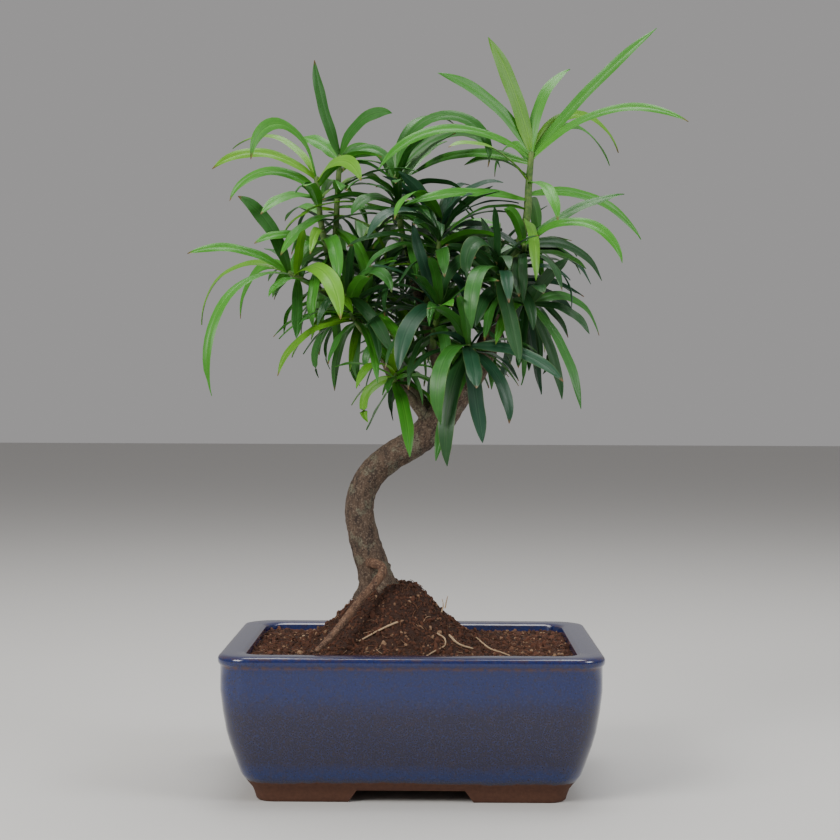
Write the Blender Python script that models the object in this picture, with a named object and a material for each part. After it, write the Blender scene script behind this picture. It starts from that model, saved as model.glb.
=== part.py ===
"""A buddhist pine grown as a bonsai in an oblong glazed pot, in metres with +Z up.

The trunk rises from a mound of soil, bends to the left and back to the right, and forks into thin boughs.
Each bough carries shoots of long strap leaves, and each shoot is one solid.
The pot's sides lie along X and Y, and the front of the plant faces -Y.
"""

import math
import random

import bmesh
import bpy
from mathutils import Vector
from mathutils.bvhtree import BVHTree

GAP = 0.0003

# Pot: slip-cast clay with a flat rim, walls that draw in towards the foot, and four corner feet.
POT_WIDTH = 0.152
POT_DEPTH = 0.117
POT_HEIGHT = 0.059
POT_CORNER = 0.012
POT_RIM_WIDTH = 0.0105
POT_FLOOR_TOP = 0.012
POT_UNDERSIDE = 0.005
SLOT_BETWEEN_SIDES = 0.0495
SLOT_BETWEEN_FRONT_AND_BACK = 0.036
SLOT_SLANT = 0.0034
DRAIN_SPACING = 0.064
DRAIN_RADIUS = 0.0045
CORNER_STEPS = 4

# Soil: fills the pot to just under its rim, with a mound that carries the trunk on a small level seat.
SOIL_EDGE_LEVEL = 0.0558
SOIL_SIDE_STEPS = 4
MOUND_CENTRE = (-0.0085, 0.002)
MOUND_TOP = 0.0815
MOUND_SHOULDER = 0.008
MOUND_RADIUS = 0.044
SEAT_LEVEL = 0.0784
SEAT_RADIUS = 0.0122

# Trunk: centre line from the flat cut at soil level to the foot of the top shoot, with the radius at each point.
TRUNK = (
    ((-0.0147, 0.0010, SEAT_LEVEL + GAP), 0.0077),
    ((-0.0153, 0.0008, 0.0830), 0.0072),
    ((-0.0168, 0.0003, 0.0885), 0.0068),
    ((-0.0210, -0.0008, 0.1030), 0.0062),
    ((-0.0226, -0.0010, 0.1140), 0.0059),
    ((-0.0190, -0.0006, 0.1255), 0.0059),
    ((-0.0100, 0.0000, 0.1345), 0.0060),
    ((0.0010, 0.0003, 0.1415), 0.0060),
    ((0.0090, 0.0003, 0.1490), 0.0068),
    ((0.0165, 0.0000, 0.1585), 0.0061),
    ((0.0240, 0.0000, 0.1690), 0.0054),
    ((0.0300, 0.0000, 0.1800), 0.0048),
    ((0.0345, 0.0000, 0.1930), 0.0042),
    ((0.0370, -0.0006, 0.2060), 0.0035),
)
FLARE_HEIGHT = 0.010
FLARE_REACH = 0.0030
FLARE_LOBES = 5

# The bare root leaves the trunk's front, arches over and runs down the mound to the front left.
BARE_ROOT = (
    ((-0.0185, -0.0010, 0.0890), 0.0022),
    ((-0.0168, -0.0080, 0.0912), 0.0021),
    ((-0.0125, -0.0115, 0.0890), 0.0019),
    ((-0.0150, -0.0145, 0.0840), 0.0018),
    ((-0.0205, -0.0200, 0.0782), 0.0017),
    ((-0.0262, -0.0285, 0.0712), 0.0016),
    ((-0.0325, -0.0375, 0.0640), 0.0014),
    ((-0.0375, -0.0440, 0.0597), 0.0010),
)

# Boughs: the limb that each one grows from, then its centre line and radii.
BOUGHS = {
    "bough_left": ("trunk", (
        ((0.0075, 0.0000, 0.1475), 0.0027),
        ((0.0010, -0.0020, 0.1570), 0.0023),
        ((-0.0080, -0.0040, 0.1670), 0.0020),
        ((-0.0135, -0.0040, 0.1780), 0.0018),
        ((-0.0215, -0.0020, 0.1885), 0.0016),
        ((-0.0285, 0.0000, 0.1980), 0.0015),
    )),
    "bough_middle": ("trunk", (
        ((0.0100, 0.0003, 0.1500), 0.0036),
        ((0.0125, 0.0010, 0.1610), 0.0032),
        ((0.0105, 0.0010, 0.1720), 0.0027),
        ((0.0070, 0.0020, 0.1840), 0.0023),
        ((0.0035, 0.0030, 0.1970), 0.0019),
        ((-0.0005, 0.0040, 0.2090), 0.0016),
    )),
    "bough_front": ("trunk", (
        ((0.0265, 0.0000, 0.1730), 0.0022),
        ((0.0270, -0.0060, 0.1745), 0.0020),
        ((0.0266, -0.0115, 0.1752), 0.0017),
    )),
    "bough_right": ("trunk", (
        ((0.0355, 0.0000, 0.1970), 0.0021),
        ((0.0400, -0.0030, 0.1990), 0.0018),
        ((0.0425, -0.0045, 0.1998), 0.0015),
    )),
    "bough_left_back": ("trunk", (
        ((0.0110, 0.0003, 0.1510), 0.0030),
        ((0.0020, 0.0090, 0.1600), 0.0026),
        ((-0.0070, 0.0180, 0.1720), 0.0021),
        ((-0.0150, 0.0240, 0.1850), 0.0017),
    )),
    "bough_right_back": ("trunk", (
        ((0.0240, 0.0000, 0.1690), 0.0028),
        ((0.0280, 0.0090, 0.1760), 0.0023),
        ((0.0310, 0.0170, 0.1860), 0.0018),
    )),
}

# Leaves: a narrow foot, a long even blade with a keel under its midrib, and a blunt point.
# The blade bends in an upright plane: its slope starts at the rise and falls by the droop at the tip.
DROOP_POWER = 1.25
LONGEST_PLAIN_LEAF = 0.034
SECTION_LENGTH = 0.016
LEAF_FOOT_SHARE = 0.34
LEAF_OPENS_OVER = 0.30
LEAF_CLOSES_OVER = 0.34
LEAF_THICKNESS = 0.0009
LEAF_CLEARANCE = 0.00045
SIBLING_FREE_FROM = 0.20
GOLDEN_ANGLE = 137.5
TURNS_TRIED = (0, 4, -4, 8, -8, 13, -13, 19, -19, 26, -26, 34, -34)

# Leaves set by rule stay inside this rounded space, which the named leaves reach out of.
CROWN_CENTRE = Vector((0.003, 0.002, 0.212))
CROWN_HALF = Vector((0.070, 0.066, 0.063))

# Shoots: each is one mass of foliage on its own stem.
# foot: the limb it grows from; stem: centre line; thick: radius at foot and tip; leaves: how many are set by rule.
# reach: the leaves that draw the crown's outline, as
# (place along the stem, bearing, rise, length, droop, width, roll), in degrees and metres.
SHOOTS = {
    "foliage_top": dict(
        foot="trunk", thick=(0.0022, 0.0012), leaves=5, seed=11, size=0.046,
        stem=((0.0372, -0.0007, 0.2064), (0.0407, -0.0020, 0.2167), (0.0464, -0.0050, 0.2330),
              (0.0475, -0.0060, 0.2494), (0.0485, -0.0070, 0.2616)),
        reach=((1.00, 201, 56, 0.053, 48, 0.0056, -75), (0.99, 205, 75, 0.051, 20, 0.0072, -85),
               (0.99, 41, 88, 0.047, 68, 0.0050, 25), (0.98, 19, 50, 0.081, 12, 0.0048, 50),
               (0.95, 339, 44, 0.073, 80, 0.0045, 55), (0.97, 37, 64, 0.064, 136, 0.0045, 55),
               (0.94, 52, 50, 0.072, 108, 0.0042, 45), (0.96, 200, 32, 0.075, 92, 0.0046, -55),
               (0.92, 151, 22, 0.061, 56, 0.0045, -60), (0.90, 121, 64, 0.039, 160, 0.0042, -45),
               (0.78, 290, 2, 0.038, 80, 0.0054, 5), (0.70, 18, 12, 0.058, 72, 0.0046, 65),
               (0.66, 211, 8, 0.060, 32, 0.0045, -55))),
    "foliage_upper_left": dict(
        foot="foliage_far_left_upper", thick=(0.0014, 0.0011), leaves=12, seed=12, size=0.040,
        stem=((-0.0352, 0.0022, 0.2130), (-0.0338, 0.0055, 0.2240), (-0.0326, 0.0050, 0.2450),
              (-0.0316, 0.0040, 0.2616)),
        reach=((1.00, 221, 62, 0.041, -20, 0.0060, -85), (1.00, 324, 66, 0.035, 88, 0.0057, 80),
               (0.95, 35, 52, 0.034, 152, 0.0045, 70), (0.97, 149, 46, 0.023, 40, 0.0064, -45))),
    "foliage_far_left_upper": dict(
        foot="bough_left", thick=(0.0016, 0.0011), leaves=14, seed=13, size=0.040,
        stem=((-0.0288, 0.0002, 0.1984), (-0.0335, 0.0018, 0.2070), (-0.0358, 0.0020, 0.2168),
              (-0.0393, 0.0020, 0.2335), (-0.0411, 0.0000, 0.2520)),
        reach=((1.00, 235, 70, 0.060, 160, 0.0054, -65), (0.98, 204, 38, 0.050, 84, 0.0046, -60),
               (0.99, 152, 62, 0.052, 100, 0.0042, -25), (0.88, 175, 46, 0.046, 120, 0.0046, -60),
               (0.84, 239, 6, 0.043, 48, 0.0046, -35), (0.97, 305, 38, 0.040, 104, 0.0058, 55),
               (0.48, 223, 20, 0.039, 52, 0.0046, -45))),
    "foliage_far_left": dict(
        foot="bough_left", thick=(0.0014, 0.0010), leaves=9, seed=14, size=0.036,
        stem=((-0.0268, -0.0006, 0.1962), (-0.0330, -0.0045, 0.2010), (-0.0422, -0.0060, 0.2065),
              (-0.0519, -0.0080, 0.2115)),
        reach=((1.00, 199, 34, 0.045, 60, 0.0046, -55), (1.00, 154, 26, 0.059, 124, 0.0042, -40),
               (0.97, 232, 2, 0.083, 120, 0.0048, -10), (0.94, 128, 30, 0.055, 124, 0.0044, -80),
               (0.92, 301, 18, 0.053, 104, 0.0074, 30), (0.86, 273, -50, 0.036, -8, 0.0048, -25),
               (1.00, 228, 70, 0.041, 52, 0.0071, -85))),
    "foliage_left": dict(
        foot="bough_left", thick=(0.0014, 0.0011), leaves=15, seed=15, size=0.040,
        stem=((-0.0205, -0.0022, 0.1872), (-0.0235, -0.0080, 0.1910), (-0.0262, -0.0120, 0.1960),
              (-0.0272, -0.0150, 0.2020)),
        reach=((0.55, 148, 10, 0.041, 56, 0.0042, -35), (0.40, 205, -2, 0.045, 76, 0.0044, -25),
               (1.00, 308, -24, 0.040, 36, 0.0056, 25), (1.00, 318, 62, 0.034, 150, 0.0050, 45),
               (0.50, 140, -6, 0.034, 50, 0.0042, -30))),
    "foliage_low_left": dict(
        foot="bough_left", thick=(0.0011, 0.0009), leaves=9, seed=16, size=0.028,
        stem=((-0.0060, -0.0036, 0.1648), (-0.0078, -0.0085, 0.1655), (-0.0076, -0.0125, 0.1680),
              (-0.0071, -0.0145, 0.1712)),
        reach=((1.00, 218, 86, 0.030, 222, 0.0042, -30), (0.90, 237, 30, 0.033, 104, 0.0042, -15),
               (0.70, 165, -4, 0.027, 128, 0.0044, -70), (0.55, 118, -30, 0.034, 18, 0.0042, -45),
               (0.50, 282, -20, 0.046, 54, 0.0056, -5))),
    "foliage_centre_left": dict(
        foot="bough_middle", thick=(0.0016, 0.0012), leaves=20, seed=17, size=0.042,
        stem=((0.0080, 0.0018, 0.1810), (0.0082, -0.0080, 0.1850), (0.0092, -0.0150, 0.1905),
              (0.0109, -0.0220, 0.1974)),
        reach=((1.00, 241, -2, 0.048, 88, 0.0072, -20), (0.95, 218, 62, 0.037, -12, 0.0061, -85),
               (1.00, 318, 86, 0.030, 100, 0.0056, 85))),
    "foliage_centre": dict(
        foot="bough_middle", thick=(0.0015, 0.0011), leaves=25, seed=18, size=0.040,
        stem=((0.0035, 0.0030, 0.1970), (0.0078, -0.0040, 0.2060), (0.0100, -0.0090, 0.2190),
              (0.0110, -0.0110, 0.2330)),
        reach=((1.00, 262, 42, 0.048, 112, 0.0056, 15), (0.98, 312, 54, 0.044, 122, 0.0054, 30),
               (0.92, 222, 34, 0.046, 104, 0.0054, -25))),
    "foliage_upper_middle": dict(
        foot="bough_middle", thick=(0.0015, 0.0011), leaves=22, seed=19, size=0.042,
        stem=((-0.0006, 0.0040, 0.2093), (-0.0020, 0.0042, 0.2180), (-0.0059, 0.0040, 0.2324),
              (-0.0080, 0.0020, 0.2531)),
        reach=((1.00, 330, 56, 0.055, 100, 0.0048, 70), (1.00, 40, 88, 0.050, 120, 0.0050, 20),
               (0.99, 10, 84, 0.070, 196, 0.0052, 60), (0.95, 147, 84, 0.036, 180, 0.0048, -55),
               (0.97, 345, 70, 0.062, 150, 0.0046, 55))),
    "foliage_front": dict(
        foot="bough_front", thick=(0.0016, 0.0012), leaves=13, seed=20, size=0.038,
        stem=((0.0265, -0.0119, 0.1752), (0.0254, -0.0180, 0.1765), (0.0238, -0.0250, 0.1790),
              (0.0220, -0.0320, 0.1807)),
        reach=((1.00, 275, -20, 0.035, 24, 0.0070, -15), (0.95, 244, 6, 0.052, 136, 0.0066, -5),
               (0.85, 247, -30, 0.057, 80, 0.0072, 0), (0.85, 281, -62, 0.045, -12, 0.0069, -15),
               (0.60, 319, -28, 0.037, 68, 0.0056, 25), (0.95, 327, 2, 0.047, 48, 0.0050, 50),
               (0.45, 226, -50, 0.049, 30, 0.0050, -40))),
    "foliage_front_right": dict(
        foot="trunk", thick=(0.0016, 0.0012), leaves=20, seed=21, size=0.042,
        stem=((0.0362, -0.0004, 0.2010), (0.0370, -0.0080, 0.2040), (0.0358, -0.0150, 0.2075),
              (0.0344, -0.0220, 0.2103)),
        reach=((1.00, 248, 20, 0.050, 140, 0.0066, -5), (1.00, 284, -46, 0.048, 12, 0.0069, -10),
               (0.90, 238, 74, 0.046, 204, 0.0064, -40))),
    "foliage_right": dict(
        foot="bough_right", thick=(0.0013, 0.0011), leaves=12, seed=32, size=0.038,
        stem=((0.0427, -0.0046, 0.1999), (0.0450, -0.0084, 0.1992), (0.0486, -0.0122, 0.1984)),
        reach=((1.00, 41, 26, 0.048, 100, 0.0044, 60), (0.90, 342, 4, 0.030, 72, 0.0044, 40),
               (1.00, 307, -36, 0.054, 44, 0.0046, 10), (0.90, 15, -60, 0.042, 24, 0.0046, 80),
               (0.70, 72, -56, 0.045, 0, 0.0046, 30), (0.60, 262, -50, 0.040, -16, 0.0046, 20),
               (0.30, 109, -60, 0.042, -10, 0.0046, -10))),
    "foliage_upper_right": dict(
        foot="foliage_top", thick=(0.0013, 0.0010), leaves=18, seed=23, size=0.040,
        stem=((0.0407, -0.0020, 0.2167), (0.0435, -0.0080, 0.2185), (0.0450, -0.0130, 0.2200),
              (0.0452, -0.0180, 0.2225)),
        reach=((1.00, 334, 40, 0.053, 124, 0.0046, 50), (0.90, 30, 18, 0.045, 84, 0.0046, 65),
               (1.00, 22, 40, 0.052, 32, 0.0046, 40), (0.70, 45, 16, 0.048, 72, 0.0044, 65))),
    "foliage_back_left": dict(
        foot="bough_left_back", thick=(0.0015, 0.0011), leaves=23, seed=24, size=0.044,
        stem=((-0.0153, 0.0243, 0.1856), (-0.0190, 0.0275, 0.1960), (-0.0215, 0.0300, 0.2090),
              (-0.0225, 0.0300, 0.2240)),
        reach=((1.00, 95, 50, 0.058, 98, 0.0056, 20), (0.96, 152, 42, 0.044, 110, 0.0054, -30),
               (0.70, 120, 14, 0.054, 84, 0.0056, 10), (0.98, 60, 66, 0.044, 120, 0.0054, 30))),
    "foliage_back_low": dict(
        foot="bough_left_back", thick=(0.0013, 0.0010), leaves=15, seed=25, size=0.040,
        stem=((-0.0070, 0.0180, 0.1720), (-0.0010, 0.0240, 0.1750), (0.0050, 0.0310, 0.1790),
              (0.0090, 0.0370, 0.1850)),
        reach=((1.00, 82, 12, 0.048, 90, 0.0056, 10), (0.96, 132, -8, 0.044, 60, 0.0056, -10),
               (0.90, 42, 2, 0.042, 72, 0.0054, 20))),
    "foliage_back_right": dict(
        foot="bough_right_back", thick=(0.0015, 0.0011), leaves=23, seed=26, size=0.044,
        stem=((0.0312, 0.0174, 0.1864), (0.0330, 0.0225, 0.1960), (0.0340, 0.0260, 0.2080),
              (0.0330, 0.0280, 0.2210)),
        reach=((1.00, 85, 52, 0.060, 100, 0.0056, -20), (0.96, 38, 38, 0.048, 106, 0.0054, 30),
               (0.70, 68, 12, 0.054, 82, 0.0056, 0), (0.98, 122, 64, 0.042, 116, 0.0054, -30))),
    "foliage_back_middle": dict(
        foot="bough_middle", thick=(0.0015, 0.0011), leaves=22, seed=27, size=0.044,
        stem=((0.0050, 0.0025, 0.1920), (0.0062, 0.0120, 0.2010), (0.0066, 0.0200, 0.2120),
              (0.0060, 0.0240, 0.2270)),
        reach=((1.00, 78, 64, 0.050, 108, 0.0056, 15), (0.98, 132, 70, 0.044, 112, 0.0054, -20))),
}


def clear_scene():
    for obj in list(bpy.data.objects):
        bpy.data.objects.remove(obj, do_unlink=True)


def make_collection(name, hidden=False):
    collection = bpy.data.collections.new(name)
    collection.hide_render = hidden
    bpy.context.scene.collection.children.link(collection)
    return collection


def make_material(name, colour, roughness, metallic=0.0):
    material = bpy.data.materials.new(name)
    material.use_nodes = True
    shader = material.node_tree.nodes["Principled BSDF"]
    shader.inputs["Base Color"].default_value = (*colour, 1.0)
    shader.inputs["Roughness"].default_value = roughness
    shader.inputs["Metallic"].default_value = metallic
    material.diffuse_color = (*colour, 1.0)
    return material


def add_object(name, mesh, collection, material=None):
    obj = bpy.data.objects.new(name, mesh)
    collection.objects.link(obj)
    if material:
        mesh.materials.clear()
        mesh.materials.append(material)
    if collection.hide_render:
        obj.hide_render = True
        obj.display_type = "WIRE"
    return obj


def apply_modifiers(obj):
    """Swap the object's mesh for the one its modifiers give."""
    graph = bpy.context.evaluated_depsgraph_get()
    mesh = bpy.data.meshes.new_from_object(obj.evaluated_get(graph))
    obj.modifiers.clear()
    obj.data = mesh


def boolean(obj, operation, other=None, collection=None, solver="EXACT"):
    modifier = obj.modifiers.new(operation.title(), "BOOLEAN")
    modifier.operation = operation
    modifier.solver = solver
    if collection:
        modifier.operand_type = "COLLECTION"
        modifier.collection = collection
    else:
        modifier.object = other
    apply_modifiers(obj)


def split_faces(mesh):
    """Cut every face into its widest triangles, so that points in one line make no empty ones."""
    shape = bmesh.new()
    shape.from_mesh(mesh)
    bmesh.ops.triangulate(shape, faces=shape.faces, quad_method="BEAUTY", ngon_method="BEAUTY")
    shape.to_mesh(mesh)
    shape.free()


def shade_smooth(obj, angle=40):
    obj.data.shade_smooth()
    obj.data.set_sharp_from_angle(angle=math.radians(angle))


def loft_mesh(name, rings):
    """A closed mesh through rings of the same number of points, capped at both ends."""
    shape = bmesh.new()
    rows = []
    for ring in rings:
        rows.append([shape.verts.new(point) for point in ring])
    count = len(rows[0])
    for lower, upper in zip(rows, rows[1:]):
        for i in range(count):
            j = (i + 1) % count
            shape.faces.new((lower[i], lower[j], upper[j], upper[i]))
    shape.faces.new(rows[0])
    shape.faces.new(rows[-1])
    bmesh.ops.recalc_face_normals(shape, faces=shape.faces)
    mesh = bpy.data.meshes.new(name)
    shape.to_mesh(mesh)
    shape.free()
    return mesh


def tube_mesh(name, path, extra=0.0, sides_step=1, steps=2):
    """A tapering limb: a smooth curve through the path's points, each with its own radius."""
    curve = bpy.data.curves.new(name, "CURVE")
    curve.dimensions = "3D"
    curve.bevel_depth = 1.0
    curve.bevel_resolution = sides_step
    curve.resolution_u = steps
    curve.use_fill_caps = True
    spline = curve.splines.new("BEZIER")
    spline.bezier_points.add(len(path) - 1)
    ends = [Vector(point) for point, radius in path]
    ends[0] += (ends[0] - ends[1]).normalized() * extra
    ends[-1] += (ends[-1] - ends[-2]).normalized() * extra
    for knot, place, (point, radius) in zip(spline.bezier_points, ends, path):
        knot.co = place
        knot.radius = radius + extra
        knot.handle_left_type = "AUTO"
        knot.handle_right_type = "AUTO"
    holder = bpy.data.objects.new(name, curve)
    bpy.context.scene.collection.objects.link(holder)
    graph = bpy.context.evaluated_depsgraph_get()
    mesh = bpy.data.meshes.new_from_object(holder.evaluated_get(graph))
    bpy.data.objects.remove(holder, do_unlink=True)
    bpy.data.curves.remove(curve)
    shape = bmesh.new()
    shape.from_mesh(mesh)
    bmesh.ops.remove_doubles(shape, verts=shape.verts, dist=0.00001)
    bmesh.ops.recalc_face_normals(shape, faces=shape.faces)
    shape.to_mesh(mesh)
    shape.free()
    return mesh


def rounded_rectangle(half_x, half_y, corner, level, centre=(0.0, 0.0), side_steps=1):
    """An outline with quarter-circle corners, and with side_steps equal stretches along each side."""
    points = []
    for quarter in range(4):
        side_x = 1 if quarter in (0, 3) else -1
        side_y = 1 if quarter in (0, 1) else -1
        hub_x = centre[0] + side_x * (half_x - corner)
        hub_y = centre[1] + side_y * (half_y - corner)
        for step in range(CORNER_STEPS + 1):
            turn = math.radians(90) * (quarter + step / CORNER_STEPS)
            points.append((hub_x + corner * math.cos(turn), hub_y + corner * math.sin(turn), level))
    if side_steps == 1:
        return points
    finer = []
    for i, point in enumerate(points):
        finer.append(point)
        if i % (CORNER_STEPS + 1) == CORNER_STEPS:
            start = Vector(point)
            end = Vector(points[(i + 1) % len(points)])
            finer += [tuple(start.lerp(end, step / side_steps)) for step in range(1, side_steps)]
    return finer


def pot_ring(inset, level, side_steps=1):
    """The pot's outline drawn in by the inset; its corners get tighter with it."""
    corner = max(POT_CORNER - 0.35 * inset, 0.004)
    half_x = POT_WIDTH / 2 - inset
    half_y = POT_DEPTH / 2 - inset
    return rounded_rectangle(half_x, half_y, corner, level, side_steps=side_steps)


def cut(target, cutter_mesh, cutters):
    cutter = add_object(cutter_mesh.name, cutter_mesh, cutters)
    boolean(target, "DIFFERENCE", cutter)


def slot_mesh(name, width, along_x):
    """A channel through the underside, wider at the ground than at its roof."""
    shape = bmesh.new()
    bmesh.ops.create_cube(shape, size=1.0)
    for vertex in shape.verts:
        at_roof = vertex.co.z > 0
        across = (width + 2 * SLOT_SLANT * (-1 if at_roof else 1)) * vertex.co.x
        through = 2 * POT_WIDTH * vertex.co.y
        level = POT_UNDERSIDE if at_roof else -POT_UNDERSIDE
        vertex.co = (through, -across, level) if along_x else (across, through, level)
    mesh = bpy.data.meshes.new(name)
    shape.to_mesh(mesh)
    shape.free()
    return mesh


def drain_mesh(name, centre_x):
    shape = bmesh.new()
    bmesh.ops.create_cone(shape, cap_ends=True, segments=12, radius1=DRAIN_RADIUS,
                          radius2=DRAIN_RADIUS, depth=2 * POT_FLOOR_TOP)
    bmesh.ops.translate(shape, verts=shape.verts, vec=(centre_x, 0, POT_FLOOR_TOP))
    mesh = bpy.data.meshes.new(name)
    shape.to_mesh(mesh)
    shape.free()
    return mesh


def make_pot(collection, cutters, material):
    """Walls, rim and floor in one loft; two crossed slots leave the corner feet, and two holes drain it."""
    outer = (
        (0.0016, POT_HEIGHT), (0.0004, POT_HEIGHT - 0.0006), (0.0000, POT_HEIGHT - 0.0016),
        (0.0001, POT_HEIGHT - 0.0034), (0.0006, POT_HEIGHT - 0.0041), (0.0009, 0.045),
        (0.0031, 0.029), (0.0061, 0.0187), (0.0086, 0.0113), (0.0110, 0.0078), (0.0130, 0.0050),
        (0.0141, 0.0020), (0.0147, 0.0),
    )
    rings = [
        pot_ring(POT_RIM_WIDTH + 0.0085, POT_FLOOR_TOP),
        pot_ring(POT_RIM_WIDTH + 0.0050, POT_FLOOR_TOP + 0.003),
        pot_ring(POT_RIM_WIDTH + 0.0010, POT_HEIGHT - 0.010),
        pot_ring(POT_RIM_WIDTH, POT_HEIGHT - 0.001),
        pot_ring(POT_RIM_WIDTH - 0.0007, POT_HEIGHT),
    ]
    rings += [pot_ring(inset, level) for inset, level in outer]
    pot = add_object("pot", loft_mesh("pot", rings), collection, material)
    cut(pot, slot_mesh("slot_between_sides", SLOT_BETWEEN_SIDES, False), cutters)
    cut(pot, slot_mesh("slot_front_to_back", SLOT_BETWEEN_FRONT_AND_BACK, True), cutters)
    for side in (-1, 1):
        cut(pot, drain_mesh("drain_hole", side * DRAIN_SPACING / 2), cutters)
    shade_smooth(pot)
    return pot


def discard(collection):
    for obj in list(collection.objects):
        bpy.data.objects.remove(obj, do_unlink=True)
    bpy.data.collections.remove(collection)


def mound_level(x, y):
    """Height of the soil: a rounded heap that eases out to the level at the pot's rim."""
    reach = math.hypot(x - MOUND_CENTRE[0], y - MOUND_CENTRE[1])
    share = min(max((reach - MOUND_SHOULDER) / (MOUND_RADIUS - MOUND_SHOULDER), 0), 1)
    ease = 0.5 * (1 + math.cos(math.pi * share)) * (1 - 0.25 * math.sin(math.pi * share))
    return SOIL_EDGE_LEVEL + (MOUND_TOP - SOIL_EDGE_LEVEL) * ease


def make_soil(collection, material):
    """Fills the inside of the pot 0.3 mm clear, then closes in by rings to the seat under the trunk."""
    inset = POT_RIM_WIDTH + GAP
    rings = [
        pot_ring(inset + 0.0085, POT_FLOOR_TOP + GAP, SOIL_SIDE_STEPS),
        pot_ring(inset + 0.0050, POT_FLOOR_TOP + 0.003 + GAP, SOIL_SIDE_STEPS),
        pot_ring(inset + 0.0010, POT_HEIGHT - 0.010, SOIL_SIDE_STEPS),
    ]
    edge = pot_ring(inset, SOIL_EDGE_LEVEL, SOIL_SIDE_STEPS)
    rings.append(edge)
    foot = Vector((TRUNK[0][0][0], TRUNK[0][0][1], 0))
    for share in (0.72, 0.50, 0.33, 0.20, 0.09):
        ring = []
        for point in edge:
            out = Vector((point[0], point[1], 0)) - foot
            place = foot + out.normalized() * (SEAT_RADIUS + share * (out.length - SEAT_RADIUS))
            ring.append((place.x, place.y, mound_level(place.x, place.y)))
        rings.append(ring)
    seat = [foot + (Vector((point[0], point[1], 0)) - foot).normalized() * SEAT_RADIUS for point in edge]
    rings.append([(place.x, place.y, SEAT_LEVEL) for place in seat])
    soil = add_object("soil", loft_mesh("soil", rings), collection, material)
    shade_smooth(soil)
    return soil


def flare_foot(mesh):
    """Spread the trunk's lowest part into the lobes of its surface roots."""
    foot = Vector(TRUNK[0][0])
    for vertex in mesh.vertices:
        height = vertex.co.z - foot.z
        if height > FLARE_HEIGHT:
            continue
        out = Vector((vertex.co.x - foot.x, vertex.co.y - foot.y, 0))
        if out.length < 0.001:
            continue
        lobes = 0.55 + 0.45 * math.cos(FLARE_LOBES * math.atan2(out.y, out.x))
        spread = FLARE_REACH * lobes * (1 - height / FLARE_HEIGHT) ** 2
        vertex.co += out.normalized() * spread


def level_foot(mesh):
    """Bring the trunk's lowest ring onto one flat cut at soil level."""
    lowest = TRUNK[0][0][2]
    for vertex in mesh.vertices:
        if vertex.co.z < lowest + 0.0012:
            vertex.co.z = lowest


def make_trunk(collection, material):
    mesh = tube_mesh("trunk", TRUNK, sides_step=4, steps=2)
    level_foot(mesh)
    flare_foot(mesh)
    trunk = add_object("trunk", mesh, collection, material)
    shade_smooth(trunk)
    return trunk


def make_limb(name, path, parent_path, collection, cutters, material, sides_step=2):
    """A bough that starts inside its parent and is cut 0.3 mm clear of it."""
    limb = add_object(name, tube_mesh(name, path, sides_step=sides_step), collection, material)
    cutter_name = name + "_cutter"
    fat_parent = add_object(cutter_name, tube_mesh(cutter_name, parent_path, GAP, 4, 2), cutters)
    boolean(limb, "DIFFERENCE", fat_parent)
    shade_smooth(limb)
    return limb


def shoot_path(shoot):
    first, last = shoot["thick"]
    steps = len(shoot["stem"]) - 1
    return tuple((point, first + (last - first) * i / steps) for i, point in enumerate(shoot["stem"]))


def point_along(points, share):
    """The point at a share of the length of a chain of points."""
    points = [Vector(point) for point in points]
    lengths = [(b - a).length for a, b in zip(points, points[1:])]
    left = share * sum(lengths)
    for a, b, length in zip(points, points[1:], lengths):
        if left <= length:
            return a.lerp(b, left / length)
        left -= length
    return points[-1]


def blade_share(share):
    """Width of a leaf at a share of its length, as a part of its full width."""
    opening = min(share / LEAF_OPENS_OVER, 1.0)
    closing = min((1.0 - share) / LEAF_CLOSES_OVER, 1.0)
    wide = LEAF_FOOT_SHARE + (1 - LEAF_FOOT_SHARE) * math.sin(opening * math.pi / 2)
    return wide * math.sin(closing * math.pi / 2) ** 0.8


def leaf_spine(base, bearing, rise, length, droop):
    """Place and direction at fine steps along the leaf, bending in an upright plane."""
    level = Vector((math.cos(math.radians(bearing)), math.sin(math.radians(bearing)), 0))
    steps = 24
    place = base.copy()
    spine = []
    for step in range(steps + 1):
        slope = math.radians(rise - droop * (step / steps) ** DROOP_POWER)
        ahead = level * math.cos(slope) + Vector((0, 0, math.sin(slope)))
        spine.append((place.copy(), ahead))
        place += ahead * (length / steps)
    return spine


def leaf_rings(spine, bearing, width, roll, from_share=0.0, grown=0.0):
    """Three-sided sections of the blade: its two edges and the keel under its midrib."""
    across = Vector((-math.sin(math.radians(bearing)), math.cos(math.radians(bearing)), 0))
    length = sum((b[0] - a[0]).length for a, b in zip(spine, spine[1:]))
    sections = 4 + max(0, round((length - LONGEST_PLAIN_LEAF) / SECTION_LENGTH))
    middle = [i / (sections - 0.25) for i in range(1, sections)]
    rings = []
    for share in (from_share, *(share for share in middle if share > from_share + 0.08), 1.0):
        place, ahead = spine[round(share * (len(spine) - 1))]
        up = ahead.cross(across)
        if up.z < 0 and abs(ahead.z) < 0.98:
            up = -up
        turn = math.radians(roll)
        side = across * math.cos(turn) + up * math.sin(turn)
        face = up * math.cos(turn) - across * math.sin(turn)
        half = max(width * blade_share(share), 0.0004) / 2 + grown
        thick = LEAF_THICKNESS * (0.6 if share == 1.0 else 1.0) + grown
        rings.append([place + side * half + face * grown, place - face * thick,
                      place - side * half + face * grown])
    return rings


def rings_mesh_data(rings):
    """Points and faces of a loft, for a clearance test."""
    count = len(rings[0])
    points = [point for ring in rings for point in ring]
    faces = [list(range(count)), list(range(len(points) - count, len(points)))]
    for row in range(len(rings) - 1):
        for i in range(count):
            j = (i + 1) % count
            low = row * count
            high = low + count
            faces.append((low + i, low + j, high + j, high + i))
    return points, faces


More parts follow.
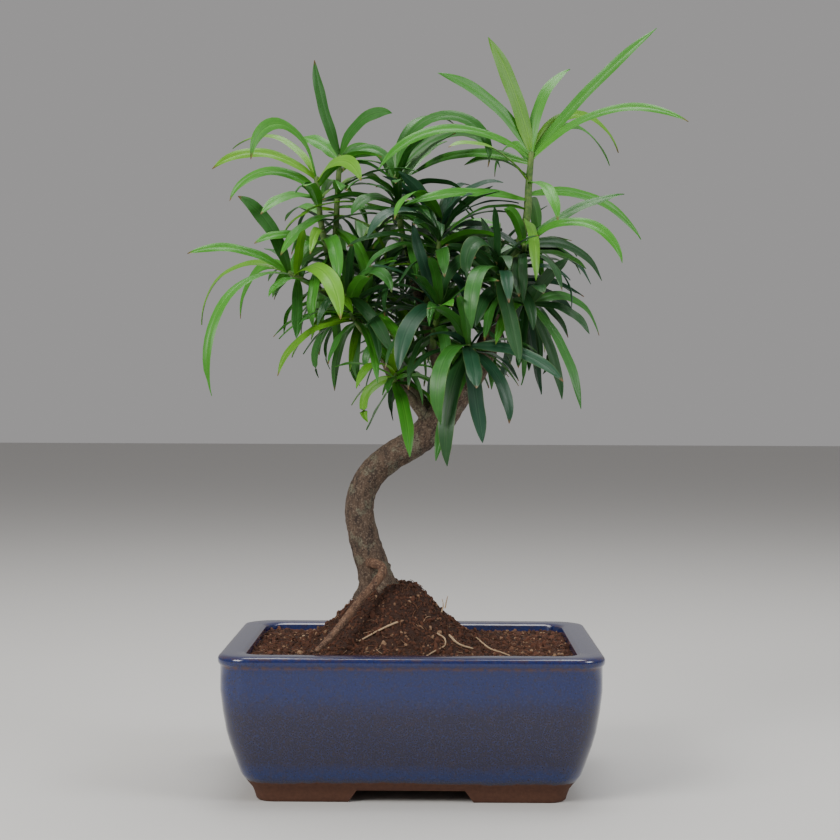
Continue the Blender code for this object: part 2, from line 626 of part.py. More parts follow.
class Space:
    """What already fills the crown: a search tree and a box for each solid, with the shoot that owns it."""

    def __init__(self):
        self.taken = []

    def add(self, owner, points, faces):
        tree = BVHTree.FromPolygons(points, faces)
        low = [min(point[axis] for point in points) for axis in range(3)]
        high = [max(point[axis] for point in points) for axis in range(3)]
        self.taken.append((owner, low, high, tree))

    def add_mesh(self, owner, mesh):
        points = [vertex.co.copy() for vertex in mesh.vertices]
        self.add(owner, points, [tuple(face.vertices) for face in mesh.polygons])

    def is_free(self, points, faces, skipped_owner=None, only_owner=None):
        low = [min(point[axis] for point in points) for axis in range(3)]
        high = [max(point[axis] for point in points) for axis in range(3)]
        tree = None
        for owner, other_low, other_high, other in self.taken:
            if owner == skipped_owner or (only_owner and owner != only_owner):
                continue
            if any(low[a] > other_high[a] or high[a] < other_low[a] for a in range(3)):
                continue
            tree = tree or BVHTree.FromPolygons(points, faces)
            if tree.overlap(other):
                return False
        return True


def fits(space, siblings, name, spine, bearing, width, roll):
    """Whether a leaf stays clear of the limbs and other shoots, and its blade of its own shoot's blades."""
    whole = rings_mesh_data(leaf_rings(spine, bearing, width, roll, grown=LEAF_CLEARANCE))
    if not space.is_free(*whole, skipped_owner=name):
        return False
    blade = rings_mesh_data(
        leaf_rings(spine, bearing, width, roll, SIBLING_FREE_FROM, LEAF_CLEARANCE / 2)
    )
    return siblings.is_free(*blade, only_owner=name)


def inside_crown(spine):
    """Whether a leaf's outer half stays in the rounded space of the crown."""
    for place, ahead in spine[len(spine) // 2:]:
        offset = place - CROWN_CENTRE
        share = Vector((offset.x / CROWN_HALF.x, offset.y / CROWN_HALF.y, offset.z / CROWN_HALF.z))
        if share.length > 1.0:
            return False
    return True


def place_leaf(space, siblings, name, row, stem, must_stay=False):
    """Try the leaf at its bearing, then turned a little to either side, and keep the first that is clear."""
    along, bearing, rise, length, droop, width, roll = row
    base = point_along(stem, along)
    for turn in TURNS_TRIED:
        spine = leaf_spine(base, bearing + turn, rise, length, droop)
        if must_stay and not inside_crown(spine):
            continue
        if not fits(space, siblings, name, spine, bearing + turn, width, roll):
            continue
        solid = leaf_rings(spine, bearing + turn, width, roll)
        space.add(name, *rings_mesh_data(solid))
        blade = leaf_rings(spine, bearing + turn, width, roll, SIBLING_FREE_FROM)
        siblings.add(name, *rings_mesh_data(blade))
        return solid
    return None


def rule_leaves(shoot):
    """Leaves in a spiral up the stem: low ones spread and hang, high ones stand up."""
    chance = random.Random(shoot["seed"])
    start = chance.uniform(0, 360)
    count = shoot["leaves"]
    for i in range(count):
        climb = (i + 0.5) / count
        along = 0.30 + 0.70 * climb
        bearing = start + GOLDEN_ANGLE * i
        rise = -18 + 88 * climb ** 1.3 + chance.uniform(-9, 9)
        length = shoot["size"] * (1.08 - 0.30 * climb) * chance.uniform(0.82, 1.16)
        droop = chance.uniform(45, 118) * (1.05 - 0.35 * climb)
        width = chance.uniform(0.0044, 0.0060)
        roll = chance.uniform(-38, 38)
        yield along, bearing, rise, length, droop, width, roll


def make_foliage(collection, cutters, material, space):
    """Set every shoot's stem, then the leaves that draw the outline, then those set by rule, and fuse each mass."""
    limb_paths = {"trunk": TRUNK}
    limb_paths.update({name: path for name, (parent, path) in BOUGHS.items()})
    limb_paths.update({name: shoot_path(shoot) for name, shoot in SHOOTS.items()})
    siblings = Space()
    stems = {}
    for name, shoot in SHOOTS.items():
        path = limb_paths[name]
        stems[name] = make_limb(name, path, limb_paths[shoot["foot"]], collection, cutters, material, 1)
        space.add_mesh(name, stems[name].data)
    leaves = {name: [] for name in SHOOTS}
    for name, shoot in SHOOTS.items():
        for row in shoot["reach"]:
            leaves[name].append(place_leaf(space, siblings, name, row, shoot["stem"]))
    for name, shoot in SHOOTS.items():
        for row in rule_leaves(shoot):
            leaves[name].append(place_leaf(space, siblings, name, row, shoot["stem"], must_stay=True))
    for name, stem in stems.items():
        blades = make_collection(name + "_leaves", hidden=True)
        for rings in leaves[name]:
            if rings:
                add_object("leaf", loft_mesh("leaf", rings), blades)
        boolean(stem, "UNION", collection=blades, solver="MANIFOLD")
        discard(blades)
        split_faces(stem.data)
        shade_smooth(stem)
    return stems


def centre_on_origin(collection):
    """Hang every part on an empty that brings the middle of the whole plant over the origin."""
    corners = [vertex.co for obj in collection.objects for vertex in obj.data.vertices]
    middle_x = (min(co.x for co in corners) + max(co.x for co in corners)) / 2
    middle_y = (min(co.y for co in corners) + max(co.y for co in corners)) / 2
    holder = bpy.data.objects.new("plant_centre", None)
    bpy.context.scene.collection.objects.link(holder)
    for obj in collection.objects:
        obj.parent = holder
    holder.location = (-middle_x, -middle_y, 0)


def main():
    clear_scene()
    parts = make_collection("buddhist_pine_bonsai")
    cutters = make_collection("cutters", hidden=True)
    glaze = make_material("blue_glaze", (0.020, 0.045, 0.190), 0.25)
    earth = make_material("potting_soil", (0.060, 0.022, 0.010), 0.95)
    bark = make_material("bark", (0.120, 0.085, 0.060), 0.85)
    root_wood = make_material("bare_root_wood", (0.230, 0.110, 0.055), 0.80)
    leaf_green = make_material("leaf_green", (0.060, 0.220, 0.035), 0.42)

    make_pot(parts, cutters, glaze)
    make_soil(parts, earth)
    trunk = make_trunk(parts, bark)
    root = make_limb("bare_root", BARE_ROOT, TRUNK, parts, cutters, root_wood)
    space = Space()
    space.add_mesh("trunk", trunk.data)
    space.add_mesh("bare_root", root.data)
    limb_paths = {"trunk": TRUNK}
    limb_paths.update({name: path for name, (parent, path) in BOUGHS.items()})
    for name, (parent, path) in BOUGHS.items():
        limb = make_limb(name, path, limb_paths[parent], parts, cutters, bark)
        space.add_mesh(name, limb.data)
    make_foliage(parts, cutters, leaf_green, space)
    centre_on_origin(parts)


main()
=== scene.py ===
"""Dresses the buddhist pine bonsai in its blue-glazed pot. Metres, +Z up, front towards -Y."""

import math
import random

import bmesh
import bpy
from mathutils import Matrix, Vector, geometry, noise
from mathutils.bvhtree import BVHTree


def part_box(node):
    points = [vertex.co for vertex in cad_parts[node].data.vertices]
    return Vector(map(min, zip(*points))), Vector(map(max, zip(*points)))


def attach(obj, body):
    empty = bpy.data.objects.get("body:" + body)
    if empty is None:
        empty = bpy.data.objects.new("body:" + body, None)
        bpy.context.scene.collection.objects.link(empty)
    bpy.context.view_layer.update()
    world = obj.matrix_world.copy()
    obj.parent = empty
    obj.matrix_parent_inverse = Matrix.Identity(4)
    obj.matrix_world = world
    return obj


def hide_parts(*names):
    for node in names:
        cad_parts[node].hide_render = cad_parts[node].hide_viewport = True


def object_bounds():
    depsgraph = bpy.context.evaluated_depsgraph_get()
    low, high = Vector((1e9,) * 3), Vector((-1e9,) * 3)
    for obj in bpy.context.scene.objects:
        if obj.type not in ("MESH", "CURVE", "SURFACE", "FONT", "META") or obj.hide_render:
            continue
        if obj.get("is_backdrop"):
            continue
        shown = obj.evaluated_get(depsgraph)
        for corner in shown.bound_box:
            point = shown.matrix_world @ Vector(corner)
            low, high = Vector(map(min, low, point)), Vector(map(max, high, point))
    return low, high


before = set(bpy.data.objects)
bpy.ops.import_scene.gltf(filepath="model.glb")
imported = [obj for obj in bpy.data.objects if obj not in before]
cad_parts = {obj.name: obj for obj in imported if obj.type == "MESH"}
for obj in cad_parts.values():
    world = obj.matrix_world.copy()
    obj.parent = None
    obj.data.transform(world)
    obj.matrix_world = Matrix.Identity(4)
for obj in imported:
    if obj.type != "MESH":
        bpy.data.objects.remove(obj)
solid_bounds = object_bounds()

# Studio
# A wide pale floor under soft light: a large lamp box high at the front left, a smaller one at the
# right, and one above the leaves. The camera stands where the photograph was taken from.

pot_low, pot_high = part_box("pot")
POT_MIDDLE = Vector(((pot_low[0] + pot_high[0]) / 2, (pot_low[1] + pot_high[1]) / 2, 0))
IMAGE_WIDTH = 840
FOCAL_PIXELS = 1701.17
SENSOR_WIDTH = 36.0
CAMERA_PLACE = Vector((0.00796, -0.7135, 0.15697))
CAMERA_YAW = math.radians(0.425)
CAMERA_PITCH = math.radians(0.517)
CAMERA_ROLL = math.radians(0.234)
FLOOR_REACH = 6.0
FLOOR_COLOUR = (0.56, 0.55, 0.53, 1.0)
AIR_COLOUR = (0.45, 0.44, 0.44, 1.0)
AIR_STRENGTH = 0.75
LAMPS_AIM = Vector((0.0, 0.0, 0.15))
# Lamp boxes: place, size, watts and colour.
LAMPS = {
    "lamp_left": ((-0.80, -0.85, 0.80), 0.60, 16.0, (1.0, 0.985, 0.96)),
    "lamp_right": ((0.95, -0.55, 0.75), 0.50, 8.0, (0.96, 0.98, 1.0)),
    "lamp_above": ((0.05, 0.15, 1.20), 0.70, 11.0, (1.0, 1.0, 1.0)),
}


def new_material(name, **constants):
    """A material with its shader's constants set. Gives the material, its tree and its shader."""
    material = bpy.data.materials.new(name)
    material.use_nodes = True
    tree = material.node_tree
    shader = tree.nodes["Principled BSDF"]
    for key, value in constants.items():
        shader.inputs[key.replace("_", " ")].default_value = value
    return material, tree, shader


def new_object(name, data):
    """An object that stands in the scene."""
    made = bpy.data.objects.new(name, data)
    bpy.context.scene.collection.objects.link(made)
    return made


def add_lamp(name, place, size, watts, colour):
    lamp = bpy.data.lights.new(name, "AREA")
    lamp.shape = "SQUARE"
    lamp.size = size
    lamp.energy = watts
    lamp.color = colour
    holder = new_object(name, lamp)
    holder.location = place
    holder.rotation_euler = (LAMPS_AIM - Vector(place)).to_track_quat("-Z", "Y").to_euler()


def add_camera():
    """The camera, by its yaw, its pitch down from the level and its roll."""
    camera = bpy.data.cameras.new("camera")
    camera.sensor_width = SENSOR_WIDTH
    camera.lens = SENSOR_WIDTH * FOCAL_PIXELS / IMAGE_WIDTH
    holder = new_object("camera", camera)
    right = Vector((math.cos(CAMERA_YAW), math.sin(CAMERA_YAW), 0))
    level = Vector((-math.sin(CAMERA_YAW), math.cos(CAMERA_YAW), 0))
    upright = Vector((0, 0, 1))
    ahead = level * math.cos(CAMERA_PITCH) - upright * math.sin(CAMERA_PITCH)
    up = level * math.sin(CAMERA_PITCH) + upright * math.cos(CAMERA_PITCH)
    across = right * math.cos(CAMERA_ROLL) + up * math.sin(CAMERA_ROLL)
    over = up * math.cos(CAMERA_ROLL) - right * math.sin(CAMERA_ROLL)
    turn = Matrix((across, over, -ahead)).transposed().to_4x4()
    holder.matrix_world = Matrix.Translation(CAMERA_PLACE + POT_MIDDLE) @ turn
    bpy.context.scene.camera = holder


def add_floor():
    corners = [(x * FLOOR_REACH, y * FLOOR_REACH, 0) for x, y in ((-1, -1), (1, -1), (1, 1), (-1, 1))]
    mesh = bpy.data.meshes.new("floor")
    mesh.from_pydata(corners, [], [(0, 1, 2, 3)])
    mesh.materials.append(new_material("pale_floor", Roughness=0.7, Base_Color=FLOOR_COLOUR)[0])
    new_object("floor", mesh)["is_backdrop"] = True


def light_the_air():
    world = bpy.data.worlds.new("soft_grey")
    world.use_nodes = True
    air = world.node_tree.nodes["Background"]
    air.inputs["Color"].default_value = AIR_COLOUR
    air.inputs["Strength"].default_value = AIR_STRENGTH
    bpy.context.scene.world = world


add_camera()
add_floor()
light_the_air()
for lamp_name, lamp_facts in LAMPS.items():
    add_lamp(lamp_name, *lamp_facts)

# Pot
# An oblong slip-cast pot with rounded corners, a flat rim with a soft lip, walls that draw in, and
# four corner feet. Its cobalt glaze is speckled, breaks brown under the lip and stops above bare clay.

POT_WIDTH = 0.152
POT_DEPTH = 0.117
POT_CORNER = 0.012
LEAST_CORNER = 0.004
CORNER_TIGHTENS = 0.35
RIM_WIDTH = 0.0105
FLOOR_TOP = 0.012
UNDERSIDE = 0.005
SLOT_ACROSS = 0.0495
SLOT_ALONG = 0.036
SLOT_SLANT = 0.0034
DRAIN_SPACING = 0.064
DRAIN_RADIUS = 0.0045
DRAIN_SIDES = 32
CORNER_STEPS = 10
SIDE_STEPS = 22
# The profile, as how far it is drawn in and its height: up the inside, over the rim and down the wall.
POT_PROFILE = (
    (RIM_WIDTH + 0.0085, FLOOR_TOP), (RIM_WIDTH + 0.0050, 0.0150), (RIM_WIDTH + 0.0030, 0.0300),
    (RIM_WIDTH + 0.0010, 0.0490), (RIM_WIDTH, 0.0572), (RIM_WIDTH - 0.0002, 0.0581),
    (RIM_WIDTH - 0.0010, 0.0588), (RIM_WIDTH - 0.0020, 0.0590), (0.0022, 0.0591), (0.0012, 0.0589),
    (0.0005, 0.0585), (0.0001, 0.0579), (0.0, 0.0573), (0.0, 0.0564), (0.0002, 0.0556),
    (0.0006, 0.0551), (0.0009, 0.0545), (0.0009, 0.0500), (0.0009, 0.0450), (0.0018, 0.0370),
    (0.0031, 0.0290), (0.0045, 0.0236), (0.0061, 0.0187), (0.0074, 0.0147), (0.0086, 0.0113),
    (0.0098, 0.0094), (0.0110, 0.0078), (0.0121, 0.0063), (0.0130, 0.0050), (0.0136, 0.0034),
    (0.0141, 0.0018), (0.0144, 0.0006), (0.0150, 0.0),
)
GLAZE = {
    "deep": (0.003, 0.011, 0.082, 1.0),
    "tinted": (0.010, 0.008, 0.034, 1.0),
    "low_blue": (0.004, 0.015, 0.088, 1.0),
    "rusty_cloud": (0.022, 0.013, 0.026, 1.0),
    "pale_speck": (0.015, 0.030, 0.120, 1.0),
    "dark_speck": (0.003, 0.005, 0.024, 1.0),
    "rim_top": (0.040, 0.040, 0.085, 1.0),
    "under_lip": (0.075, 0.027, 0.014, 1.0),
    "lip": (0.070, 0.034, 0.028, 1.0),
    "edge": (0.018, 0.012, 0.020, 1.0),
    "dark_clay": (0.050, 0.020, 0.012, 1.0),
    "light_clay": (0.110, 0.047, 0.027, 1.0),
}
# Heights at which each change of the glaze starts and is complete.
TINT_LEVELS = (0.0445, 0.0360)
LOW_BLUE_LEVELS = (0.0170, 0.0120)
RIM_TOP_LEVELS = (0.0578, 0.0588)
GLAZE_EDGE_LEVELS = (0.0104, 0.0086)
BARE_LEVELS = (0.0087, 0.0081)
UNDER_LIP_LEVEL = 0.0548
LIP_LEVEL = 0.0583


def pot_ring(inset, level, corner_steps=CORNER_STEPS, side_steps=SIDE_STEPS):
    """The pot's outline drawn in by the inset, with equal stretches along its sides."""
    corner = max(POT_CORNER - CORNER_TIGHTENS * inset, LEAST_CORNER)
    hub_x = POT_WIDTH / 2 - inset - corner
    hub_y = POT_DEPTH / 2 - inset - corner
    corners = []
    for quarter, (side_x, side_y) in enumerate(((1, 1), (-1, 1), (-1, -1), (1, -1))):
        for step in range(corner_steps + 1):
            turn = math.radians(90) * (quarter + step / corner_steps)
            x = side_x * hub_x + corner * math.cos(turn)
            y = side_y * hub_y + corner * math.sin(turn)
            corners.append(Vector((x, y, level)))
    ring = []
    for i, point in enumerate(corners):
        ring.append(point)
        if i % (corner_steps + 1) == corner_steps:
            end = corners[(i + 1) % len(corners)]
            ring += [point.lerp(end, step / side_steps) for step in range(1, side_steps)]
    return ring


def ring_data(rings):
    """Points and faces of a loft through rings of the same number of points, capped at both ends."""
    count = len(rings[0])
    points = [point for ring in rings for point in ring]
    faces = [list(range(count)), list(range(len(points) - count, len(points)))]
    for row in range(len(rings) - 1):
        for i in range(count):
            low = row * count + i
            beside = row * count + (i + 1) % count
            faces.append([low, beside, beside + count, low + count])
    return points, faces


def closed_mesh(name, points, faces):
    """A mesh with its faces turned outward."""
    mesh = bpy.data.meshes.new(name)
    mesh.from_pydata(points, [], faces)
    shape = bmesh.new()
    shape.from_mesh(mesh)
    bmesh.ops.recalc_face_normals(shape, faces=shape.faces)
    shape.to_mesh(mesh)
    shape.free()
    return mesh


def loft(name, rings):
    return closed_mesh(name, *ring_data(rings))


def smoothed(mesh, sharp_over):
    """The mesh shaded smooth, but for edges that turn by more than an angle in degrees."""
    mesh.shade_smooth()
    mesh.set_sharp_from_angle(angle=math.radians(sharp_over))
    return mesh


def add_piece(name, mesh, nodes, materials=()):
    """Move a mesh drawn about the pot's middle to where the solids stand, hang it on the root body, and
    hide the solids it takes the place of.
    """
    mesh.transform(Matrix.Translation(POT_MIDDLE))
    for material in materials:
        mesh.materials.append(material)
    piece = new_object(name, mesh)
    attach(piece, "root")
    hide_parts(*nodes)


def wedge_slot(name, width, along_x):
    """A channel under the pot, wider at the ground than at its roof."""
    shape = bmesh.new()
    bmesh.ops.create_cube(shape, size=1.0)
    for vertex in shape.verts:
        at_roof = vertex.co.z > 0
        across = (width + 2 * SLOT_SLANT * (-1 if at_roof else 1)) * vertex.co.x
        through = 2 * POT_WIDTH * vertex.co.y
        level = UNDERSIDE if at_roof else -UNDERSIDE
        vertex.co = (through, -across, level) if along_x else (across, through, level)
    mesh = bpy.data.meshes.new(name)
    shape.to_mesh(mesh)
    shape.free()
    return mesh


def drain_plug(name, x):
    """A round plug through the pot's floor."""
    rings = [[], []]
    for i in range(DRAIN_SIDES):
        turn = 2 * math.pi * i / DRAIN_SIDES
        for ring, level in zip(rings, (0.0, FLOOR_TOP * 2)):
            ring.append(Vector((x + DRAIN_RADIUS * math.cos(turn), DRAIN_RADIUS * math.sin(turn), level)))
    return loft(name, rings)


def cut_from(mesh, cutters):
    """The mesh less each of the cutters."""
    target = new_object("target", mesh)
    tools = [new_object(cutter.name, cutter) for cutter in cutters]
    for tool in tools:
        modifier = target.modifiers.new("cut", "BOOLEAN")
        modifier.operation = "DIFFERENCE"
        modifier.solver = "EXACT"
        modifier.object = tool
    graph = bpy.context.evaluated_depsgraph_get()
    result = bpy.data.meshes.new_from_object(target.evaluated_get(graph))
    for obj in (target, *tools):
        bpy.data.objects.remove(obj, do_unlink=True)
    return result


def feed(tree, value, slot):
    """Link an output to a node's input, or set the input to a plain value."""
    if isinstance(value, Wire):
        tree.links.new(value.socket, slot)
    elif value is not None:
        slot.default_value = value


class Wire:
    """An output in a node tree. A sum with it adds Math nodes, so a material reads as a formula."""

    def __init__(self, tree, socket):
        self.tree = tree
        self.socket = socket

    def math(self, operation, first, second=None, clamp=False):
        settings = {"operation": operation, "use_clamp": clamp}
        return node(self.tree, "ShaderNodeMath", settings, {0: first, 1: second})

    def __add__(self, other):
        return self.math("ADD", self, other)

    def __radd__(self, other):
        return self.math("ADD", other, self)

    def __sub__(self, other):
        return self.math("SUBTRACT", self, other)

    def __rsub__(self, other):
        return self.math("SUBTRACT", other, self)

    def __mul__(self, other):
        return self.math("MULTIPLY", self, other)

    def __rmul__(self, other):
        return self.math("MULTIPLY", other, self)

    def __truediv__(self, other):
        return self.math("DIVIDE", self, other)

    def __rtruediv__(self, other):
        return self.math("DIVIDE", other, self)

    def __abs__(self):
        return self.math("ABSOLUTE", self)

    def held(self):
        """The value kept from 0 to 1."""
        return self.math("MULTIPLY", self, 1.0, clamp=True)

    def rise(self, start, end):
        """0 up to the start and 1 from the end on; with the end below the start it falls instead."""
        return ((self - start) / (end - start)).held()


def node(tree, kind, settings=None, inputs=None, output=0):
    """Add a node: its settings first, then its inputs by name or number. Gives one of its outputs."""
    made = tree.nodes.new(kind)
    for key, value in (settings or {}).items():
        setattr(made, key, value)
    for key, value in (inputs or {}).items():
        feed(tree, value, made.inputs[key])
    return Wire(tree, made.outputs[output]) if made.outputs else None


def mixed(tree, share, first, second):
    """The first colour going over into the second by the share. Its sockets for colours go by number."""
    inputs = {0: share, 6: first, 7: second}
    return node(tree, "ShaderNodeMix", {"data_type": "RGBA"}, inputs, 2)


def add_bump(tree, shader, height, strength, distance):
    inputs = {"Strength": strength, "Distance": distance, "Height": height}
    feed(tree, node(tree, "ShaderNodeBump", None, inputs), shader.inputs["Normal"])


def grain(tree, place, scale, detail=3.0, roughness=0.55):
    """Cloudy noise from 0 to 1 at the place."""
    inputs = {"Vector": place, "Scale": scale, "Detail": detail, "Roughness": roughness}
    return node(tree, "ShaderNodeTexNoise", None, inputs)


def object_place(tree):
    return node(tree, "ShaderNodeTexCoord", output=3)


def split(tree, vector):
    """The three parts of a vector."""
    first = node(tree, "ShaderNodeSeparateXYZ", None, {0: vector})
    return [Wire(tree, output) for output in first.socket.node.outputs]


def rim_line(z, level, half_width, mask):
    """A broken line round the pot at a level."""
    return (1.0 - abs(z - level) / half_width).held() * mask


def glaze_material():
    """Deep blue at the top, tinted brown lower down, bluer over the foot, and bare clay below the glaze."""
    material, tree, shader = new_material("blue_glaze", Coat_Roughness=0.07, IOR=1.4)
    place = object_place(tree)
    z = split(tree, place)[2]
    drift = grain(tree, place, 45.0)
    fine = grain(tree, place, 1500.0, 2.0, 0.6)
    medium = grain(tree, place, 420.0, 3.0, 0.6)
    height = z + (drift - 0.5) * 0.006
    colour = mixed(tree, height.rise(*TINT_LEVELS), GLAZE["deep"], GLAZE["tinted"])
    colour = mixed(tree, height.rise(*LOW_BLUE_LEVELS), colour, GLAZE["low_blue"])
    colour = mixed(tree, medium.rise(0.50, 0.64) * 0.45, colour, GLAZE["rusty_cloud"])
    colour = mixed(tree, fine.rise(0.54, 0.65) * 0.50, colour, GLAZE["pale_speck"])
    colour = mixed(tree, fine.rise(0.42, 0.34) * 0.70, colour, GLAZE["dark_speck"])
    colour = mixed(tree, z.rise(*RIM_TOP_LEVELS) * 0.60, colour, GLAZE["rim_top"])
    under_lip = rim_line(z, UNDER_LIP_LEVEL, 0.0011, medium.rise(0.36, 0.56))
    colour = mixed(tree, under_lip * 0.8, colour, GLAZE["under_lip"])
    lip = rim_line(z, LIP_LEVEL, 0.0007, medium.rise(0.40, 0.60))
    colour = mixed(tree, lip * 0.60, colour, GLAZE["lip"])
    wavy = z + (medium - 0.5) * 0.0016 + (drift - 0.5) * 0.0030
    bare = wavy.rise(*BARE_LEVELS)
    colour = mixed(tree, wavy.rise(*GLAZE_EDGE_LEVELS) * 0.75, colour, GLAZE["edge"])
    clay = mixed(tree, grain(tree, place, 700.0), GLAZE["dark_clay"], GLAZE["light_clay"])
    feed(tree, mixed(tree, bare, colour, clay), shader.inputs["Base Color"])
    feed(tree, 0.16 + bare * 0.64 + fine * 0.06, shader.inputs["Roughness"])
    feed(tree, 0.65 - bare * 0.65, shader.inputs["Coat Weight"])
    pits = fine.rise(0.30, 0.24)
    add_bump(tree, shader, medium * 0.4 + fine * bare - pits * 2.0, 0.18, 0.0003)
    return material


def make_pot():
    mesh = loft("pot", [pot_ring(inset, level) for inset, level in POT_PROFILE])
    cutters = [wedge_slot("slot_between_sides", SLOT_ACROSS, False),
               wedge_slot("slot_front_to_back", SLOT_ALONG, True)]
    for side in (-1, 1):
        cutters.append(drain_plug("drain", side * DRAIN_SPACING / 2))
    mesh = smoothed(cut_from(mesh, cutters), sharp_over=35)
    add_piece("glazed_pot", mesh, ["pot"], [glaze_material()])


make_pot()

# Soil
# A loose light mix of coir, peat and bark crumbs, heaped round the foot of the trunk and running out
# to just under the rim. Crumbs and short fibres lie all over it.

SOIL_EDGE = 0.0556
MOUND_CENTRE = Vector((-0.0085, 0.0020, 0))
MOUND_TOP = 0.0818
MOUND_SHOULDER = 0.008
MOUND_RADIUS = 0.044
MOUND_HOLLOW = 0.25
TRUNK_FOOT = Vector((-0.0147, 0.0010, 0))
SOIL_INSET = RIM_WIDTH + 0.0002
# The bed's side, as how far each ring is drawn in past the pot's wall and its height.
BED_SIDE = ((0.0085, 0.0122), (0.0050, 0.0152), (0.0030, 0.0300), (0.0010, 0.0490), (0.0, SOIL_EDGE))
BED_RINGS = 46
# Lumps in the bed: height, and how many go to a metre.
LUMPS = ((0.0011, 120), (0.0009, 330), (0.0004, 900))
# Earth colours: dark, light and the few pale bits.
CRUMB_COLOURS = ((0.022, 0.009, 0.005, 1.0), (0.120, 0.042, 0.020, 1.0), (0.300, 0.190, 0.110, 1.0))
FIBRE_COLOURS = ((0.050, 0.021, 0.011, 1.0), (0.190, 0.082, 0.040, 1.0), (0.420, 0.290, 0.180, 1.0))
# What is strewn over the bed: pieces to a square metre, seed, and smallest and largest half-length.
CRUMBS = dict(Density=560000.0, Seed=3, Smallest=0.00035, Largest=0.0011)
CLODS = dict(Density=42000.0, Seed=4, Smallest=0.0009, Largest=0.0019)
FIBRES = dict(Density=120000.0, Seed=5, Smallest=0.0008, Largest=0.0026)
FLATTEST_CRUMB = (0.6, 0.45, 0.3)
ROUNDEST_CRUMB = (1.3, 1.0, 0.75)
CRUMB_KNOBS = {"Scale": 1.3, "Detail": 1.0}
FIBRE_BEND = {
    "Resolution": 6, "Start": (-1.0, 0.0, 0.0), "Middle": (0.1, 0.55, 0.45), "End": (1.0, -0.1, 0.1),
}
FIBRE_GIRTH = {"Resolution": 4, "Radius": 0.055}
FIBRE_TILT = 0.35
FULL_TURN = 6.28
LEAST_UPWARD = 0.4
CRUMB_SIZE_SEED = 5
CRUMB_SHAPE_SEED = 6
CRUMB_TURN_SEED = 7
FIBRE_SIZE_SEED = 8
FIBRE_TURN_SEED = 9
SHADE_SEED = 77


def mound_level(x, y):
    """Height of the soil: a rounded heap that eases out to the level at the pot's rim."""
    reach = math.hypot(x - MOUND_CENTRE.x, y - MOUND_CENTRE.y)
    share = min(max((reach - MOUND_SHOULDER) / (MOUND_RADIUS - MOUND_SHOULDER), 0), 1)
    ease = 0.5 * (1 + math.cos(math.pi * share)) * (1 - MOUND_HOLLOW * math.sin(math.pi * share))
    return SOIL_EDGE + (MOUND_TOP - SOIL_EDGE) * ease


def rough_level(x, y):
    """The heap with its lumps."""
    place = Vector((x, y, 0))
    return mound_level(x, y) + sum(height * noise.noise(place * pitch) for height, pitch in LUMPS)


def soil_material(name, colours):
    """Earth that goes from dark to light by each crumb's own shade, with a few pale ones."""
    dark, light, pale = colours
    material, tree, shader = new_material(name, Roughness=0.95)
    place = object_place(tree)
    shade = node(tree, "ShaderNodeAttribute", {"attribute_name": "shade"}, output=2)
    blotch = grain(tree, place, 500.0)
    colour = mixed(tree, (shade * 0.75 + blotch * 0.5 - 0.15).held(), dark, light)
    colour = mixed(tree, shade.rise(0.93, 0.96) * 0.75, colour, pale)
    feed(tree, colour, shader.inputs["Base Color"])
    add_bump(tree, shader, grain(tree, place, 2600.0), 0.5, 0.0004)
    return material


def soil_bed():
    """The bed itself: up the inside of the pot, then inward by rings over the heap to the trunk."""
    rings = [pot_ring(SOIL_INSET + inset, level) for inset, level in BED_SIDE]
    edge = rings[-1]
    for step in range(1, BED_RINGS):
        share = 1 - step / BED_RINGS
        ring = []
        for point in edge:
            place = TRUNK_FOOT + (Vector((point.x, point.y, 0)) - TRUNK_FOOT) * share
            ring.append(Vector((place.x, place.y, rough_level(place.x, place.y))))
        rings.append(ring)
    return smoothed(loft("soil_bed", rings), sharp_over=60)


def new_growth_tree(name, numbers):
    """A node tree that takes a surface and the named numbers. Gives the tree and its inputs."""
    tree = bpy.data.node_groups.new(name, "GeometryNodeTree")
    tree.interface.new_socket("Geometry", in_out="OUTPUT", socket_type="NodeSocketGeometry")
    tree.interface.new_socket("Geometry", in_out="INPUT", socket_type="NodeSocketGeometry")
    for number in numbers:
        kind = "NodeSocketInt" if number == "Seed" else "NodeSocketFloat"
        tree.interface.new_socket(number, in_out="INPUT", socket_type=kind)
    outputs = node(tree, "NodeGroupInput").socket.node.outputs
    return tree, {output.name: Wire(tree, output) for output in outputs if output.name}


def spread(tree, given):
    """Points over what faces up on the surface. Gives the points and the turn of each."""
    normal = node(tree, "GeometryNodeInputNormal")
    upward = node(tree, "FunctionNodeCompare", {"data_type": "FLOAT", "operation": "GREATER_THAN"},
                  {0: split(tree, normal)[2], 1: LEAST_UPWARD})
    inputs = {"Mesh": given["Geometry"], "Selection": upward}
    inputs.update({key: given[key] for key in ("Density", "Seed")})
    points = node(tree, "GeometryNodeDistributePointsOnFaces", None, inputs, "Points")
    return points, Wire(tree, points.socket.node.outputs["Rotation"])


def random_number(tree, low, high, seed):
    """A number of its own for each point. The sockets go by number, because they share their names."""
    return node(tree, "FunctionNodeRandomValue", {"data_type": "FLOAT"}, {2: low, 3: high, 8: seed}, 1)


def random_vector(tree, low, high, seed):
    """A vector of its own for each point, with its sockets by number too."""
    inputs = {0: low, 1: high, 8: seed}
    return node(tree, "FunctionNodeRandomValue", {"data_type": "FLOAT_VECTOR"}, inputs)


def end_growth(tree, instances, material):
    """Give each copy its own shade, make the copies real, and close the tree."""
    shade = random_number(tree, 0.0, 1.0, SHADE_SEED)
    stored = node(tree, "GeometryNodeStoreNamedAttribute", {"data_type": "FLOAT", "domain": "INSTANCE"},
                  {"Geometry": instances, "Name": "shade", "Value": shade})
    real = node(tree, "GeometryNodeRealizeInstances", None, {"Geometry": stored})
    dressed = node(tree, "GeometryNodeSetMaterial", None, {"Geometry": real, "Material": material})
    node(tree, "NodeGroupOutput", None, {0: dressed})


